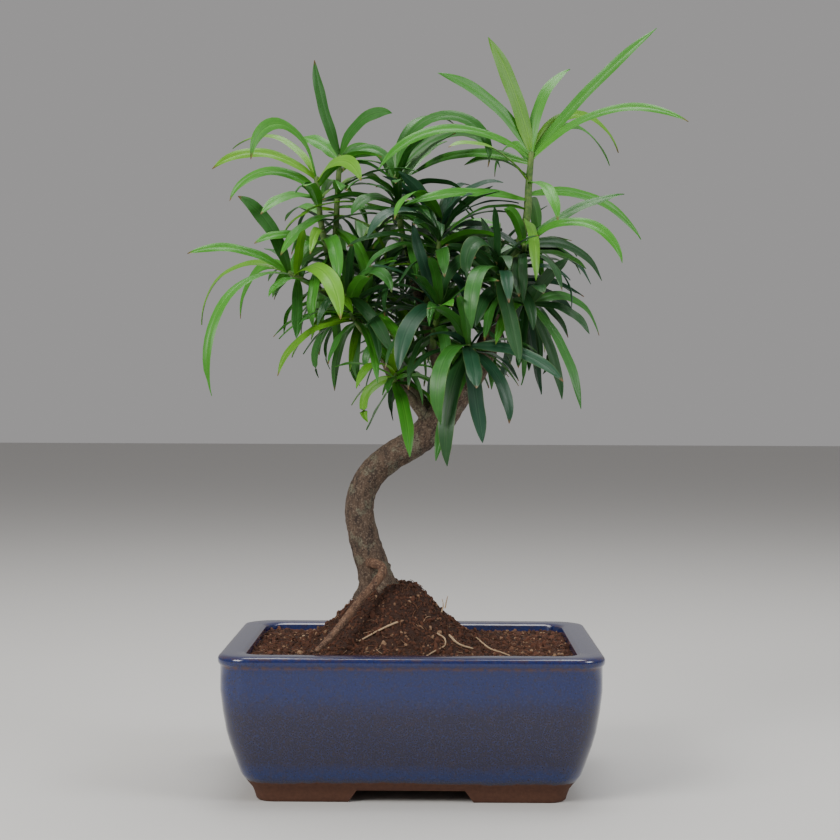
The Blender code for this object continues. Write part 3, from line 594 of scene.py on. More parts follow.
def crumb_tree(material, subdivisions):
    """Lumpy crumbs scattered over a surface, each squashed and turned its own way."""
    tree, given = new_growth_tree("crumbs", ("Density", "Seed", "Smallest", "Largest"))
    points = spread(tree, given)[0]
    ball = node(tree, "GeometryNodeMeshIcoSphere", None, {"Radius": 1.0, "Subdivisions": subdivisions})
    place = node(tree, "GeometryNodeInputPosition")
    knobs = node(tree, "ShaderNodeTexNoise", None, {"Vector": place, **CRUMB_KNOBS}, 1)
    shift = node(tree, "ShaderNodeVectorMath", {"operation": "SUBTRACT"}, {0: knobs, 1: (0.5, 0.5, 0.5)})
    lump = node(tree, "GeometryNodeSetPosition", None, {"Geometry": ball, "Offset": shift})
    size = random_number(tree, given["Smallest"], given["Largest"], CRUMB_SIZE_SEED)
    squash = random_vector(tree, FLATTEST_CRUMB, ROUNDEST_CRUMB, CRUMB_SHAPE_SEED)
    scale = node(tree, "ShaderNodeVectorMath", {"operation": "SCALE"}, {0: squash, 3: size})
    spin = random_vector(tree, (0.0, 0.0, 0.0), (FULL_TURN, FULL_TURN, FULL_TURN), CRUMB_TURN_SEED)
    inputs = {"Points": points, "Instance": lump, "Rotation": spin, "Scale": scale}
    end_growth(tree, node(tree, "GeometryNodeInstanceOnPoints", None, inputs), material)
    return tree


def fibre_tree(material):
    """Short bent fibres lying on a surface."""
    tree, given = new_growth_tree("fibres", ("Density", "Seed", "Smallest", "Largest"))
    points, turn = spread(tree, given)
    bend = node(tree, "GeometryNodeCurveQuadraticBezier", None, FIBRE_BEND)
    outline = node(tree, "GeometryNodeCurvePrimitiveCircle", None, FIBRE_GIRTH)
    inputs = {"Curve": bend, "Profile Curve": outline, "Fill Caps": True}
    strand = node(tree, "GeometryNodeCurveToMesh", None, inputs)
    size = random_number(tree, given["Smallest"], given["Largest"], FIBRE_SIZE_SEED)
    inputs = {"Points": points, "Instance": strand, "Rotation": turn, "Scale": size}
    laid = node(tree, "GeometryNodeInstanceOnPoints", None, inputs)
    lowest, highest = (-FIBRE_TILT, -FIBRE_TILT, 0.0), (FIBRE_TILT, FIBRE_TILT, FULL_TURN)
    spin = random_vector(tree, lowest, highest, FIBRE_TURN_SEED)
    laid = node(tree, "GeometryNodeRotateInstances", None, {"Instances": laid, "Rotation": spin})
    end_growth(tree, laid, material)
    return tree


def grown_on(surface, name, tree, values):
    """Run the tree on the surface with its inputs set, and keep the result as a plain mesh."""
    holder = new_object(name, surface)
    modifier = holder.modifiers.new("growth", "NODES")
    modifier.node_group = tree
    for item in tree.interface.items_tree:
        if item.in_out == "INPUT" and item.name in values:
            modifier[item.identifier] = values[item.name]
    graph = bpy.context.evaluated_depsgraph_get()
    mesh = bpy.data.meshes.new_from_object(holder.evaluated_get(graph))
    holder.modifiers.clear()
    bpy.data.objects.remove(holder, do_unlink=True)
    mesh.name = name
    return mesh


def make_soil():
    crumb = soil_material("soil_crumb", CRUMB_COLOURS)
    fibre = soil_material("soil_fibre", FIBRE_COLOURS)
    bed = soil_bed()
    surface = bed.copy()
    add_piece("soil_bed", bed, ["soil"], [crumb])
    strewn = {
        "soil_crumbs": (crumb_tree(crumb, 1), CRUMBS),
        "soil_lumps": (crumb_tree(crumb, 2), CLODS),
        "soil_fibres": (fibre_tree(fibre), FIBRES),
    }
    for name, facts in strewn.items():
        add_piece(name, grown_on(surface, name, *facts), ["soil"])


make_soil()

# Trunk, boughs and bare root
# A leaning trunk with rough grey-brown bark, grooved lengthwise, with grey-green lichen and small
# knobs where shoots were cut. Six thin boughs fork from it, and one bare root arches over the heap.

TRUNK = (
    ((-0.0147, 0.0010, 0.0760), 0.0082),
    ((-0.0147, 0.0010, 0.0787), 0.0077),
    ((-0.0153, 0.0008, 0.0830), 0.0072),
    ((-0.0168, 0.0003, 0.0885), 0.0068),
    ((-0.0210, -0.0008, 0.1030), 0.0062),
    ((-0.0226, -0.0010, 0.1140), 0.0059),
    ((-0.0190, -0.0006, 0.1255), 0.0059),
    ((-0.0100, 0.0000, 0.1345), 0.0060),
    ((0.0010, 0.0003, 0.1415), 0.0060),
    ((0.0090, 0.0003, 0.1490), 0.0068),
    ((0.0165, 0.0000, 0.1585), 0.0061),
    ((0.0240, 0.0000, 0.1690), 0.0054),
    ((0.0300, 0.0000, 0.1800), 0.0048),
    ((0.0345, 0.0000, 0.1930), 0.0042),
    ((0.0370, -0.0006, 0.2060), 0.0035),
)
BARE_ROOT = (
    ((-0.0185, -0.0010, 0.0890), 0.0022),
    ((-0.0168, -0.0080, 0.0912), 0.0021),
    ((-0.0125, -0.0115, 0.0890), 0.0019),
    ((-0.0150, -0.0145, 0.0840), 0.0018),
    ((-0.0205, -0.0200, 0.0782), 0.0017),
    ((-0.0262, -0.0285, 0.0712), 0.0016),
    ((-0.0325, -0.0375, 0.0640), 0.0014),
    ((-0.0375, -0.0440, 0.0597), 0.0010),
)
BOUGHS = {
    "bough_left": (((0.0075, 0.0000, 0.1475), 0.0027), ((0.0010, -0.0020, 0.1570), 0.0023),
                   ((-0.0080, -0.0040, 0.1670), 0.0020), ((-0.0135, -0.0040, 0.1780), 0.0018),
                   ((-0.0215, -0.0020, 0.1885), 0.0016), ((-0.0285, 0.0000, 0.1980), 0.0015)),
    "bough_middle": (((0.0100, 0.0003, 0.1500), 0.0036), ((0.0125, 0.0010, 0.1610), 0.0032),
                     ((0.0105, 0.0010, 0.1720), 0.0027), ((0.0070, 0.0020, 0.1840), 0.0023),
                     ((0.0035, 0.0030, 0.1970), 0.0019), ((-0.0005, 0.0040, 0.2090), 0.0016)),
    "bough_front": (((0.0265, 0.0000, 0.1730), 0.0022), ((0.0270, -0.0060, 0.1745), 0.0020),
                    ((0.0266, -0.0115, 0.1752), 0.0017)),
    "bough_right": (((0.0355, 0.0000, 0.1970), 0.0021), ((0.0400, -0.0030, 0.1990), 0.0018),
                    ((0.0425, -0.0045, 0.1998), 0.0015)),
    "bough_left_back": (((0.0110, 0.0003, 0.1510), 0.0030), ((0.0020, 0.0090, 0.1600), 0.0026),
                        ((-0.0070, 0.0180, 0.1720), 0.0021), ((-0.0150, 0.0240, 0.1850), 0.0017)),
    "bough_right_back": (((0.0240, 0.0000, 0.1690), 0.0028), ((0.0280, 0.0090, 0.1760), 0.0023),
                         ((0.0310, 0.0170, 0.1860), 0.0018)),
}
FLARE_TOP = 0.0887
FLARE_HEIGHT = 0.0100
FLARE_REACH = 0.0030
FLARE_LOBES = 5
LOBE_SHARE = 0.45
FLARE_LIMIT = 1.2
FLARE_CORE = 0.001
TRUNK_LENGTH = 0.175
# Bark and root skin: how finely it is broken round the limb and along it, and how deep by its radius.
GROOVE_PITCHES = (2.6, 110)
FLAKE_PITCHES = (5, 520)
ROOT_PITCHES = (2, 260)
GROOVE_DEPTH = 0.085
GROOVE_LIFT = 0.25
GROOVE_SHARPNESS = 1.5
FLAKE_DEPTH = 0.045
ROOT_DEPTH = 0.12
# How many sides each kind of limb has, and how many steps from one point of its path to the next.
TRUNK_FINENESS = (56, 14)
BOUGH_FINENESS = (24, 12)
ROOT_FINENESS = (20, 10)
# How far the handles of a smooth bend reach, and how far a limb's end is rounded over.
HANDLE_REACH = 2.5614
TIP_LENGTH = 0.5
TIP_SHARE = 0.6
# Colours of bark and of bare root: in the grooves, of the bark, and of its worn edges.
OLD_BARK = ((0.026, 0.015, 0.010, 1.0), (0.098, 0.062, 0.040, 1.0), (0.190, 0.140, 0.098, 1.0))
YOUNG_BARK = ((0.045, 0.032, 0.020, 1.0), (0.120, 0.092, 0.055, 1.0), (0.215, 0.185, 0.120, 1.0))
ROOT_WOOD = ((0.045, 0.020, 0.012, 1.0), (0.135, 0.070, 0.040, 1.0), (0.270, 0.170, 0.105, 1.0))
LICHEN = (0.150, 0.155, 0.105, 1.0)
PITS = (0.020, 0.014, 0.010, 1.0)
# Knobs on the bark: place along the trunk, turn round it, size and height.
KNOBS = ((0.20, 20, 0.0022, 0.0010), (0.34, 330, 0.0020, 0.0009), (0.47, 250, 0.0018, 0.0008),
         (0.56, 300, 0.0024, 0.0011), (0.64, 60, 0.0020, 0.0009), (0.73, 285, 0.0018, 0.0008),
         (0.41, 120, 0.0022, 0.0009), (0.82, 200, 0.0016, 0.0007))


def eased_path(path, steps):
    """Fine points with their radii on the curve that runs smoothly through the path's points."""
    knots = [Vector(point) for point, radius in path]
    handles = []
    for i, knot in enumerate(knots):
        before = knots[i - 1] if i else 2 * knot - knots[1]
        after = knots[i + 1] if i + 1 < len(knots) else 2 * knot - knots[-2]
        pull = (knot - before).normalized() + (after - knot).normalized()
        size = pull.length * HANDLE_REACH
        left = knot - pull * ((knot - before).length / size)
        handles.append((left, knot + pull * ((after - knot).length / size)))
    line = []
    for i in range(len(knots) - 1):
        start, end = handles[i][1], handles[i + 1][0]
        bend = geometry.interpolate_bezier(knots[i], start, end, knots[i + 1], steps + 1)
        first, last = path[i][1], path[i + 1][1]
        line += [(point, first + (last - first) * k / steps) for k, point in enumerate(bend[:-1])]
    return line + [(knots[-1], path[-1][1])]


def limb_rings(path, sides, steps, relief):
    """Round sections along a path, each point pushed out by the relief at its turn and run."""
    line = eased_path(path, steps)
    across = Vector((1, 0, 0))
    run = 0.0
    rings = []
    for i, (point, radius) in enumerate(line):
        ahead = (line[min(i + 1, len(line) - 1)][0] - line[max(i - 1, 0)][0]).normalized()
        across = (across - ahead * across.dot(ahead)).normalized()
        other = ahead.cross(across)
        if i:
            run += (point - line[i - 1][0]).length
        ring = []
        for k in range(sides):
            turn = 2 * math.pi * k / sides
            out = across * math.cos(turn) + other * math.sin(turn)
            ring.append(point + out * (radius + relief(turn, run, i / (len(line) - 1), radius)))
        rings.append(ring)
    tip, radius = line[-1]
    ahead = (tip - line[-2][0]).normalized()
    rings.append([tip + ahead * radius * TIP_LENGTH + (point - tip) * TIP_SHARE for point in rings[-1]])
    return rings


def skin_noise(turn, run, pitch_round, pitch_along):
    """Noise over the skin of a limb, by the turn round it and the run along it."""
    place = Vector((math.cos(turn) * pitch_round, math.sin(turn) * pitch_round, run * pitch_along))
    return noise.noise(place)


def bark_relief(turn, run, share, radius):
    """Lengthwise grooves and cross cracks, deeper on a thicker limb."""
    grooves = GROOVE_LIFT - GROOVE_SHARPNESS * abs(skin_noise(turn, run, *GROOVE_PITCHES))
    flakes = skin_noise(turn, run, *FLAKE_PITCHES)
    return radius * (GROOVE_DEPTH * grooves + FLAKE_DEPTH * flakes)


def trunk_relief(turn, run, share, radius):
    height = bark_relief(turn, run, share, radius)
    for place, knob_turn, size, tall in KNOBS:
        away = (turn - math.radians(knob_turn) + math.pi) % (2 * math.pi) - math.pi
        reach = math.hypot(away * radius, (share - place) * TRUNK_LENGTH) / size
        height += tall * math.exp(-reach * reach)
    return height


def root_relief(turn, run, share, radius):
    return radius * ROOT_DEPTH * skin_noise(turn, run, *ROOT_PITCHES)


def spread_foot(mesh):
    """Spread the trunk's lowest part into the lobes of its surface roots."""
    for vertex in mesh.vertices:
        share = min(max((FLARE_TOP - vertex.co.z) / FLARE_HEIGHT, 0.0), FLARE_LIMIT)
        out = Vector((vertex.co.x, vertex.co.y, 0)) - TRUNK_FOOT
        if share == 0.0 or out.length < FLARE_CORE:
            continue
        lobes = 1 - LOBE_SHARE + LOBE_SHARE * math.cos(FLARE_LOBES * math.atan2(out.y, out.x))
        vertex.co += out.normalized() * FLARE_REACH * lobes * share ** 2


def bark_material(name, colours, lichen_share):
    """Bark streaked along the limb, with worn edges, patches of lichen and dark pits."""
    dark, mid, light = colours
    material, tree, shader = new_material(name, Roughness=0.88)
    place = object_place(tree)
    stretched = node(tree, "ShaderNodeMapping", None, {"Vector": place, "Scale": (1.0, 1.0, 0.35)})
    streaks = grain(tree, stretched, 420.0, 4.0, 0.65)
    blotch = grain(tree, place, 150.0, 3.0)
    fine = grain(tree, place, 1400.0, 2.0)
    colour = mixed(tree, streaks.rise(0.36, 0.62), dark, mid)
    colour = mixed(tree, fine.rise(0.50, 0.68) * 0.7, colour, light)
    lichen = blotch.rise(0.52, 0.60) * fine.rise(0.34, 0.56) * lichen_share
    colour = mixed(tree, lichen, colour, LICHEN)
    pits = grain(tree, place, 900.0, 1.0).rise(0.36, 0.30)
    colour = mixed(tree, pits * 0.8, colour, PITS)
    feed(tree, colour, shader.inputs["Base Color"])
    add_bump(tree, shader, streaks + fine * 0.4, 0.55, 0.0006)
    return material


def gathered(parts):
    """Points and faces of several lists of rings, each lofted shut."""
    points = []
    faces = []
    for rings in parts:
        part_points, part_faces = ring_data(rings)
        faces += [[len(points) + corner for corner in face] for face in part_faces]
        points += part_points
    return points, faces


def joined(name, parts):
    return smoothed(closed_mesh(name, *gathered(parts)), sharp_over=60)


def make_wood():
    bark = bark_material("bark", OLD_BARK, 0.50)
    young_bark = bark_material("young_bark", YOUNG_BARK, 0.45)
    root_wood = bark_material("bare_root_wood", ROOT_WOOD, 0.0)
    trunk = joined("trunk", [limb_rings(TRUNK, *TRUNK_FINENESS, trunk_relief)])
    spread_foot(trunk)
    add_piece("trunk_bark", trunk, ["trunk"], [bark])
    boughs = joined("boughs", [limb_rings(path, *BOUGH_FINENESS, bark_relief) for path in BOUGHS.values()])
    add_piece("bough_bark", boughs, list(BOUGHS), [young_bark])
    root = joined("root", [limb_rings(BARE_ROOT, *ROOT_FINENESS, root_relief)])
    add_piece("arching_root", root, ["bare_root"], [root_wood])


make_wood()

# Fine roots
# Pale hair-thin roots that lie on the heap at the front and right, and two that stand up from it.
# Each lies on the soil along the points given as X and Y.

FINE_ROOTS = (
    (((-0.0058, -0.0213), (-0.0120, -0.0240), (-0.0213, -0.0275)), 0.00045),
    (((0.0101, -0.0203), (0.0134, -0.0215), (0.0080, -0.0330), (0.0022, -0.0440)), 0.00040),
    (((0.0150, -0.0173), (0.0190, -0.0200), (0.0248, -0.0190)), 0.00050),
    (((0.0265, -0.0020), (0.0320, -0.0120), (0.0360, -0.0220), (0.0393, -0.0310)), 0.00042),
    (((-0.0350, 0.0120), (-0.0420, 0.0200), (-0.0480, 0.0230)), 0.00045),
    (((0.0050, 0.0260), (0.0150, 0.0300), (0.0220, 0.0360)), 0.00042),
)
WISPS = (
    ((0.0120, -0.0090, 0.0710), (0.0127, -0.0092, 0.0740), (0.0122, -0.0094, 0.0765)),
    ((0.0135, -0.0040, 0.0720), (0.0141, -0.0042, 0.0752), (0.0146, -0.0046, 0.0772)),
)
PALE_ROOT = (0.430, 0.300, 0.180, 1.0)
ROOT_LIFT = 0.0008
ROOT_TAPER = 0.15
WISP_RADII = (0.00030, 0.00022, 0.00014)
FINE_ROOT_FINENESS = (8, 8)
WISP_FINENESS = (8, 6)


def make_fine_roots():
    parts = []
    for places, radius in FINE_ROOTS:
        path = []
        for i, (x, y) in enumerate(places):
            path.append(((x, y, mound_level(x, y) + ROOT_LIFT), radius * (1 - ROOT_TAPER * i)))
        parts.append(limb_rings(path, *FINE_ROOT_FINENESS, root_relief))
    for points in WISPS:
        parts.append(limb_rings(list(zip(points, WISP_RADII)), *WISP_FINENESS, root_relief))
    pale_root = new_material("pale_root", Roughness=0.8, Base_Color=PALE_ROOT)[0]
    add_piece("fine_roots", joined("fine_roots", parts), ["soil"], [pale_root])


make_fine_roots()

# Leaves and twigs
# Long strap leaves of a buddhist pine, leathery and slightly keeled, with a pale double line along the
# midrib. They spiral round short twigs: lower, older ones hanging, young ones upright. Sprays at the left
# and top take brighter greens, and those at the front and right take deeper and bluish ones. This is partly
# new growth and partly painted light, painted shade and a painted reflection.

DROOP_POWER = 1.25
LONGEST_PLAIN_LEAF = 0.034
SECTION_LENGTH = 0.016
LEAF_FOOT_SHARE = 0.34
LEAF_TIP_POWER = 0.8
UPRIGHT_LEAF = 0.98
LEAF_OPENS_OVER = 0.30
LEAF_CLOSES_OVER = 0.34
LEAF_THICKNESS = 0.0009
LEAF_CLEARANCE = 0.00045
SIBLING_FREE_FROM = 0.20
GOLDEN_ANGLE = 137.5
TURNS_TRIED = (0, 4, -4, 8, -8, 13, -13, 19, -19, 26, -26, 34, -34)
CROWN_CENTRE = Vector((0.003, 0.002, 0.212))
CROWN_HALF = Vector((0.070, 0.066, 0.063))
EXTRA_LEAVES = 1.3
EXTRA_SEED = 100
EXTRA_SLIMNESS = 0.72
EXTRA_CLEARANCE = 0.00005
SPINE_STEPS = 24
TWIG_FINENESS = (12, 6)
# A limb that leaves are tested against.
PLAIN_FINENESS = (8, 3)
# The sections of a leaf that it is tested with.
PLAIN_SECTIONS = 4
LAST_GAP = 0.25
SECTION_GAP = 0.08
LEAST_TESTED_WIDTH = 0.0004
TIP_THICKNESS = 0.6
# Leaves set by rule: where the lowest stands, the rise, length and droop of a low one and how they
# change up the stem, and how far each may stray.
LOWEST_LEAF = 0.30
LOW_RISE = -18
RISE_GAIN = 88
RISE_POWER = 1.3
RISE_STRAY = 9
LOW_LENGTH = 1.08
LENGTH_LOSS = 0.30
LENGTH_STRAY = (0.82, 1.16)
LOW_DROOP = 1.05
DROOP_LOSS = 0.35
DROOPS = (45, 118)
WIDTHS = (0.0044, 0.0060)
ROLL_STRAY = 38

# The blade's section: place across from edge to edge, and height as a share of its thickness.
BLADE_OUTLINE = ((-1.0, 0.0), (-0.62, 0.16), (-0.20, 0.10), (0.0, -0.14), (0.20, 0.10), (0.62, 0.16),
                 (1.0, 0.0), (0.55, -0.34), (0.16, -0.62), (0.0, -0.90), (-0.16, -0.62), (-0.55, -0.34))
BLADE_SECTIONS = 18
BLADE_FACES = BLADE_SECTIONS * len(BLADE_OUTLINE) + 2
BLADE_BUNCHING = 1.15
BLADE_KEEL = 0.00062
KEEL_AT_TIP = 0.45
KEEL_FADE = 0.12
FINEST_SHARE = 0.9985
LEAST_WIDTH = 0.00025
RIPPLE_HEIGHT = 0.00022
RIPPLE_PITCH = 17

# Each shoot is one spray of leaves on its own twig: its radius at foot and tip is thick, its centre
# line is stem, and leaves counts those set by rule. Its reach lists the leaves that draw the crown's
# outline, each by place along the stem, bearing, rise, length, droop, width and roll.
SHOOTS = {
    "foliage_top": dict(
        thick=(0.0022, 0.0012), leaves=5, seed=11, size=0.046,
        stem=((0.0372, -0.0007, 0.2064), (0.0407, -0.0020, 0.2167), (0.0464, -0.0050, 0.2330),
              (0.0475, -0.0060, 0.2494), (0.0485, -0.0070, 0.2616)),
        reach=((1.00, 201, 56, 0.053, 48, 0.0056, -75), (0.99, 205, 75, 0.051, 20, 0.0072, -85),
               (0.99, 41, 88, 0.047, 68, 0.0050, 25), (0.98, 19, 50, 0.081, 12, 0.0048, 50),
               (0.95, 339, 44, 0.073, 80, 0.0045, 55), (0.97, 37, 64, 0.064, 136, 0.0045, 55),
               (0.94, 52, 50, 0.072, 108, 0.0042, 45), (0.96, 200, 32, 0.075, 92, 0.0046, -55),
               (0.92, 151, 22, 0.061, 56, 0.0045, -60), (0.90, 121, 64, 0.039, 160, 0.0042, -45),
               (0.78, 290, 2, 0.038, 80, 0.0054, 5), (0.70, 18, 12, 0.058, 72, 0.0046, 65),
               (0.66, 211, 8, 0.060, 32, 0.0045, -55))),
    "foliage_upper_left": dict(
        thick=(0.0014, 0.0011), leaves=12, seed=12, size=0.040,
        stem=((-0.0352, 0.0022, 0.2130), (-0.0338, 0.0055, 0.2240), (-0.0326, 0.0050, 0.2450),
              (-0.0316, 0.0040, 0.2616)),
        reach=((1.00, 221, 62, 0.041, -20, 0.0060, -85), (1.00, 324, 66, 0.035, 88, 0.0057, 80),
               (0.95, 35, 52, 0.034, 152, 0.0045, 70), (0.97, 149, 46, 0.023, 40, 0.0064, -45))),
    "foliage_far_left_upper": dict(
        thick=(0.0016, 0.0011), leaves=14, seed=13, size=0.040,
        stem=((-0.0288, 0.0002, 0.1984), (-0.0335, 0.0018, 0.2070), (-0.0358, 0.0020, 0.2168),
              (-0.0393, 0.0020, 0.2335), (-0.0411, 0.0000, 0.2520)),
        reach=((1.00, 235, 70, 0.060, 160, 0.0054, -65), (0.98, 204, 38, 0.050, 84, 0.0046, -60),
               (0.99, 152, 62, 0.052, 100, 0.0042, -25), (0.88, 175, 46, 0.046, 120, 0.0046, -60),
               (0.84, 239, 6, 0.043, 48, 0.0046, -35), (0.97, 305, 38, 0.040, 104, 0.0058, 55),
               (0.48, 223, 20, 0.039, 52, 0.0046, -45))),
    "foliage_far_left": dict(
        thick=(0.0014, 0.0010), leaves=9, seed=14, size=0.036,
        stem=((-0.0268, -0.0006, 0.1962), (-0.0330, -0.0045, 0.2010), (-0.0422, -0.0060, 0.2065),
              (-0.0519, -0.0080, 0.2115)),
        reach=((1.00, 199, 34, 0.045, 60, 0.0046, -55), (1.00, 154, 26, 0.059, 124, 0.0042, -40),
               (0.97, 232, 2, 0.083, 120, 0.0048, -10), (0.94, 128, 30, 0.055, 124, 0.0044, -80),
               (0.92, 301, 18, 0.053, 104, 0.0074, 30), (0.86, 273, -50, 0.036, -8, 0.0048, -25),
               (1.00, 228, 70, 0.041, 52, 0.0071, -85))),
    "foliage_left": dict(
        thick=(0.0014, 0.0011), leaves=15, seed=15, size=0.040,
        stem=((-0.0205, -0.0022, 0.1872), (-0.0235, -0.0080, 0.1910), (-0.0262, -0.0120, 0.1960),
              (-0.0272, -0.0150, 0.2020)),
        reach=((0.55, 148, 10, 0.041, 56, 0.0042, -35), (0.40, 205, -2, 0.045, 76, 0.0044, -25),
               (1.00, 308, -24, 0.040, 36, 0.0056, 25), (1.00, 318, 62, 0.034, 150, 0.0050, 45),
               (0.50, 140, -6, 0.034, 50, 0.0042, -30))),
    "foliage_low_left": dict(
        thick=(0.0011, 0.0009), leaves=9, seed=16, size=0.028,
        stem=((-0.0060, -0.0036, 0.1648), (-0.0078, -0.0085, 0.1655), (-0.0076, -0.0125, 0.1680),
              (-0.0071, -0.0145, 0.1712)),
        reach=((1.00, 218, 86, 0.030, 222, 0.0042, -30), (0.90, 237, 30, 0.033, 104, 0.0042, -15),
               (0.70, 165, -4, 0.027, 128, 0.0044, -70), (0.55, 118, -30, 0.034, 18, 0.0042, -45),
               (0.50, 282, -20, 0.046, 54, 0.0056, -5))),
    "foliage_centre_left": dict(
        thick=(0.0016, 0.0012), leaves=20, seed=17, size=0.042,
        stem=((0.0080, 0.0018, 0.1810), (0.0082, -0.0080, 0.1850), (0.0092, -0.0150, 0.1905),
              (0.0109, -0.0220, 0.1974)),
        reach=((1.00, 241, -2, 0.048, 88, 0.0072, -20), (0.95, 218, 62, 0.037, -12, 0.0061, -85),
               (1.00, 318, 86, 0.030, 100, 0.0056, 85))),
    "foliage_centre": dict(
        thick=(0.0015, 0.0011), leaves=25, seed=18, size=0.040,
        stem=((0.0035, 0.0030, 0.1970), (0.0078, -0.0040, 0.2060), (0.0100, -0.0090, 0.2190),
              (0.0110, -0.0110, 0.2330)),
        reach=((1.00, 262, 42, 0.048, 112, 0.0056, 15), (0.98, 312, 54, 0.044, 122, 0.0054, 30),
               (0.92, 222, 34, 0.046, 104, 0.0054, -25))),
    "foliage_upper_middle": dict(
        thick=(0.0015, 0.0011), leaves=22, seed=19, size=0.042,
        stem=((-0.0006, 0.0040, 0.2093), (-0.0020, 0.0042, 0.2180), (-0.0059, 0.0040, 0.2324),
              (-0.0080, 0.0020, 0.2531)),
        reach=((1.00, 330, 56, 0.055, 100, 0.0048, 70), (1.00, 40, 88, 0.050, 120, 0.0050, 20),
               (0.99, 10, 84, 0.070, 196, 0.0052, 60), (0.95, 147, 84, 0.036, 180, 0.0048, -55),
               (0.97, 345, 70, 0.062, 150, 0.0046, 55))),
    "foliage_front": dict(
        thick=(0.0016, 0.0012), leaves=13, seed=20, size=0.038,
        stem=((0.0265, -0.0119, 0.1752), (0.0254, -0.0180, 0.1765), (0.0238, -0.0250, 0.1790),
              (0.0220, -0.0320, 0.1807)),
        reach=((1.00, 275, -20, 0.035, 24, 0.0070, -15), (0.95, 244, 6, 0.052, 136, 0.0066, -5),
               (0.85, 247, -30, 0.057, 80, 0.0072, 0), (0.85, 281, -62, 0.045, -12, 0.0069, -15),
               (0.60, 319, -28, 0.037, 68, 0.0056, 25), (0.95, 327, 2, 0.047, 48, 0.0050, 50),
               (0.45, 226, -50, 0.049, 30, 0.0050, -40))),
    "foliage_front_right": dict(
        thick=(0.0016, 0.0012), leaves=20, seed=21, size=0.042,
        stem=((0.0362, -0.0004, 0.2010), (0.0370, -0.0080, 0.2040), (0.0358, -0.0150, 0.2075),
              (0.0344, -0.0220, 0.2103)),
        reach=((1.00, 248, 20, 0.050, 140, 0.0066, -5), (1.00, 284, -46, 0.048, 12, 0.0069, -10),
               (0.90, 238, 74, 0.046, 204, 0.0064, -40))),
    "foliage_right": dict(
        thick=(0.0013, 0.0011), leaves=12, seed=32, size=0.038,
        stem=((0.0427, -0.0046, 0.1999), (0.0450, -0.0084, 0.1992), (0.0486, -0.0122, 0.1984)),
        reach=((1.00, 41, 26, 0.048, 100, 0.0044, 60), (0.90, 342, 4, 0.030, 72, 0.0044, 40),
               (1.00, 307, -36, 0.054, 44, 0.0046, 10), (0.90, 15, -60, 0.042, 24, 0.0046, 80),
               (0.70, 72, -56, 0.045, 0, 0.0046, 30), (0.60, 262, -50, 0.040, -16, 0.0046, 20),
               (0.30, 109, -60, 0.042, -10, 0.0046, -10))),
    "foliage_upper_right": dict(
        thick=(0.0013, 0.0010), leaves=18, seed=23, size=0.040,
        stem=((0.0407, -0.0020, 0.2167), (0.0435, -0.0080, 0.2185), (0.0450, -0.0130, 0.2200),
              (0.0452, -0.0180, 0.2225)),
        reach=((1.00, 334, 40, 0.053, 124, 0.0046, 50), (0.90, 30, 18, 0.045, 84, 0.0046, 65),
               (1.00, 22, 40, 0.052, 32, 0.0046, 40), (0.70, 45, 16, 0.048, 72, 0.0044, 65))),
    "foliage_back_left": dict(
        thick=(0.0015, 0.0011), leaves=23, seed=24, size=0.044,
        stem=((-0.0153, 0.0243, 0.1856), (-0.0190, 0.0275, 0.1960), (-0.0215, 0.0300, 0.2090),
              (-0.0225, 0.0300, 0.2240)),
        reach=((1.00, 95, 50, 0.058, 98, 0.0056, 20), (0.96, 152, 42, 0.044, 110, 0.0054, -30),
               (0.70, 120, 14, 0.054, 84, 0.0056, 10), (0.98, 60, 66, 0.044, 120, 0.0054, 30))),
    "foliage_back_low": dict(
        thick=(0.0013, 0.0010), leaves=15, seed=25, size=0.040,
        stem=((-0.0070, 0.0180, 0.1720), (-0.0010, 0.0240, 0.1750), (0.0050, 0.0310, 0.1790),
              (0.0090, 0.0370, 0.1850)),
        reach=((1.00, 82, 12, 0.048, 90, 0.0056, 10), (0.96, 132, -8, 0.044, 60, 0.0056, -10),
               (0.90, 42, 2, 0.042, 72, 0.0054, 20))),
    "foliage_back_right": dict(
        thick=(0.0015, 0.0011), leaves=23, seed=26, size=0.044,
        stem=((0.0312, 0.0174, 0.1864), (0.0330, 0.0225, 0.1960), (0.0340, 0.0260, 0.2080),
              (0.0330, 0.0280, 0.2210)),
        reach=((1.00, 85, 52, 0.060, 100, 0.0056, -20), (0.96, 38, 38, 0.048, 106, 0.0054, 30),
               (0.70, 68, 12, 0.054, 82, 0.0056, 0), (0.98, 122, 64, 0.042, 116, 0.0054, -30))),
    "foliage_back_middle": dict(
        thick=(0.0015, 0.0011), leaves=22, seed=27, size=0.044,
        stem=((0.0050, 0.0025, 0.1920), (0.0062, 0.0120, 0.2010), (0.0066, 0.0200, 0.2120),
              (0.0060, 0.0240, 0.2270)),
        reach=((1.00, 78, 64, 0.050, 108, 0.0056, 15), (0.98, 132, 70, 0.044, 112, 0.0054, -20))),
}

# Leaf greens, as linear red, green and blue; the bluish one is a painted reflection of the sky.
LEAF_GREENS = {
    "leaf_young": (0.090, 0.270, 0.014),
    "leaf_bright": (0.040, 0.210, 0.014),
    "leaf_mid": (0.024, 0.125, 0.016),
    "leaf_deep": (0.012, 0.062, 0.014),
    "leaf_painted_sheen": (0.011, 0.056, 0.026),
}
# Tints of each green: the shares of its red, green and blue, and what is added to them. The shaded and lit
# tints are painted shade and painted light.
LEAF_TINTS = {
    "shaded": ((0.72, 0.78, 0.80),),
    "lit": ((1.35, 1.22, 1.10),),
    "foot": ((1.80, 1.35, 1.10), (0.01, 0.01, 0.0)),
    "line": ((1.90, 1.50, 1.70), (0.02, 0.02, 0.008)),
    # This tint darkens the hollow along the midrib: painted shade.
    "painted_groove_shade": ((0.55, 0.60, 0.60),),
}
LEAF_EDGE = (0.160, 0.220, 0.040, 1.0)
DRY_TIP = (0.160, 0.070, 0.025, 1.0)
TWIG_GREENS = ((0.050, 0.120, 0.018, 1.0), (0.110, 0.190, 0.035, 1.0))
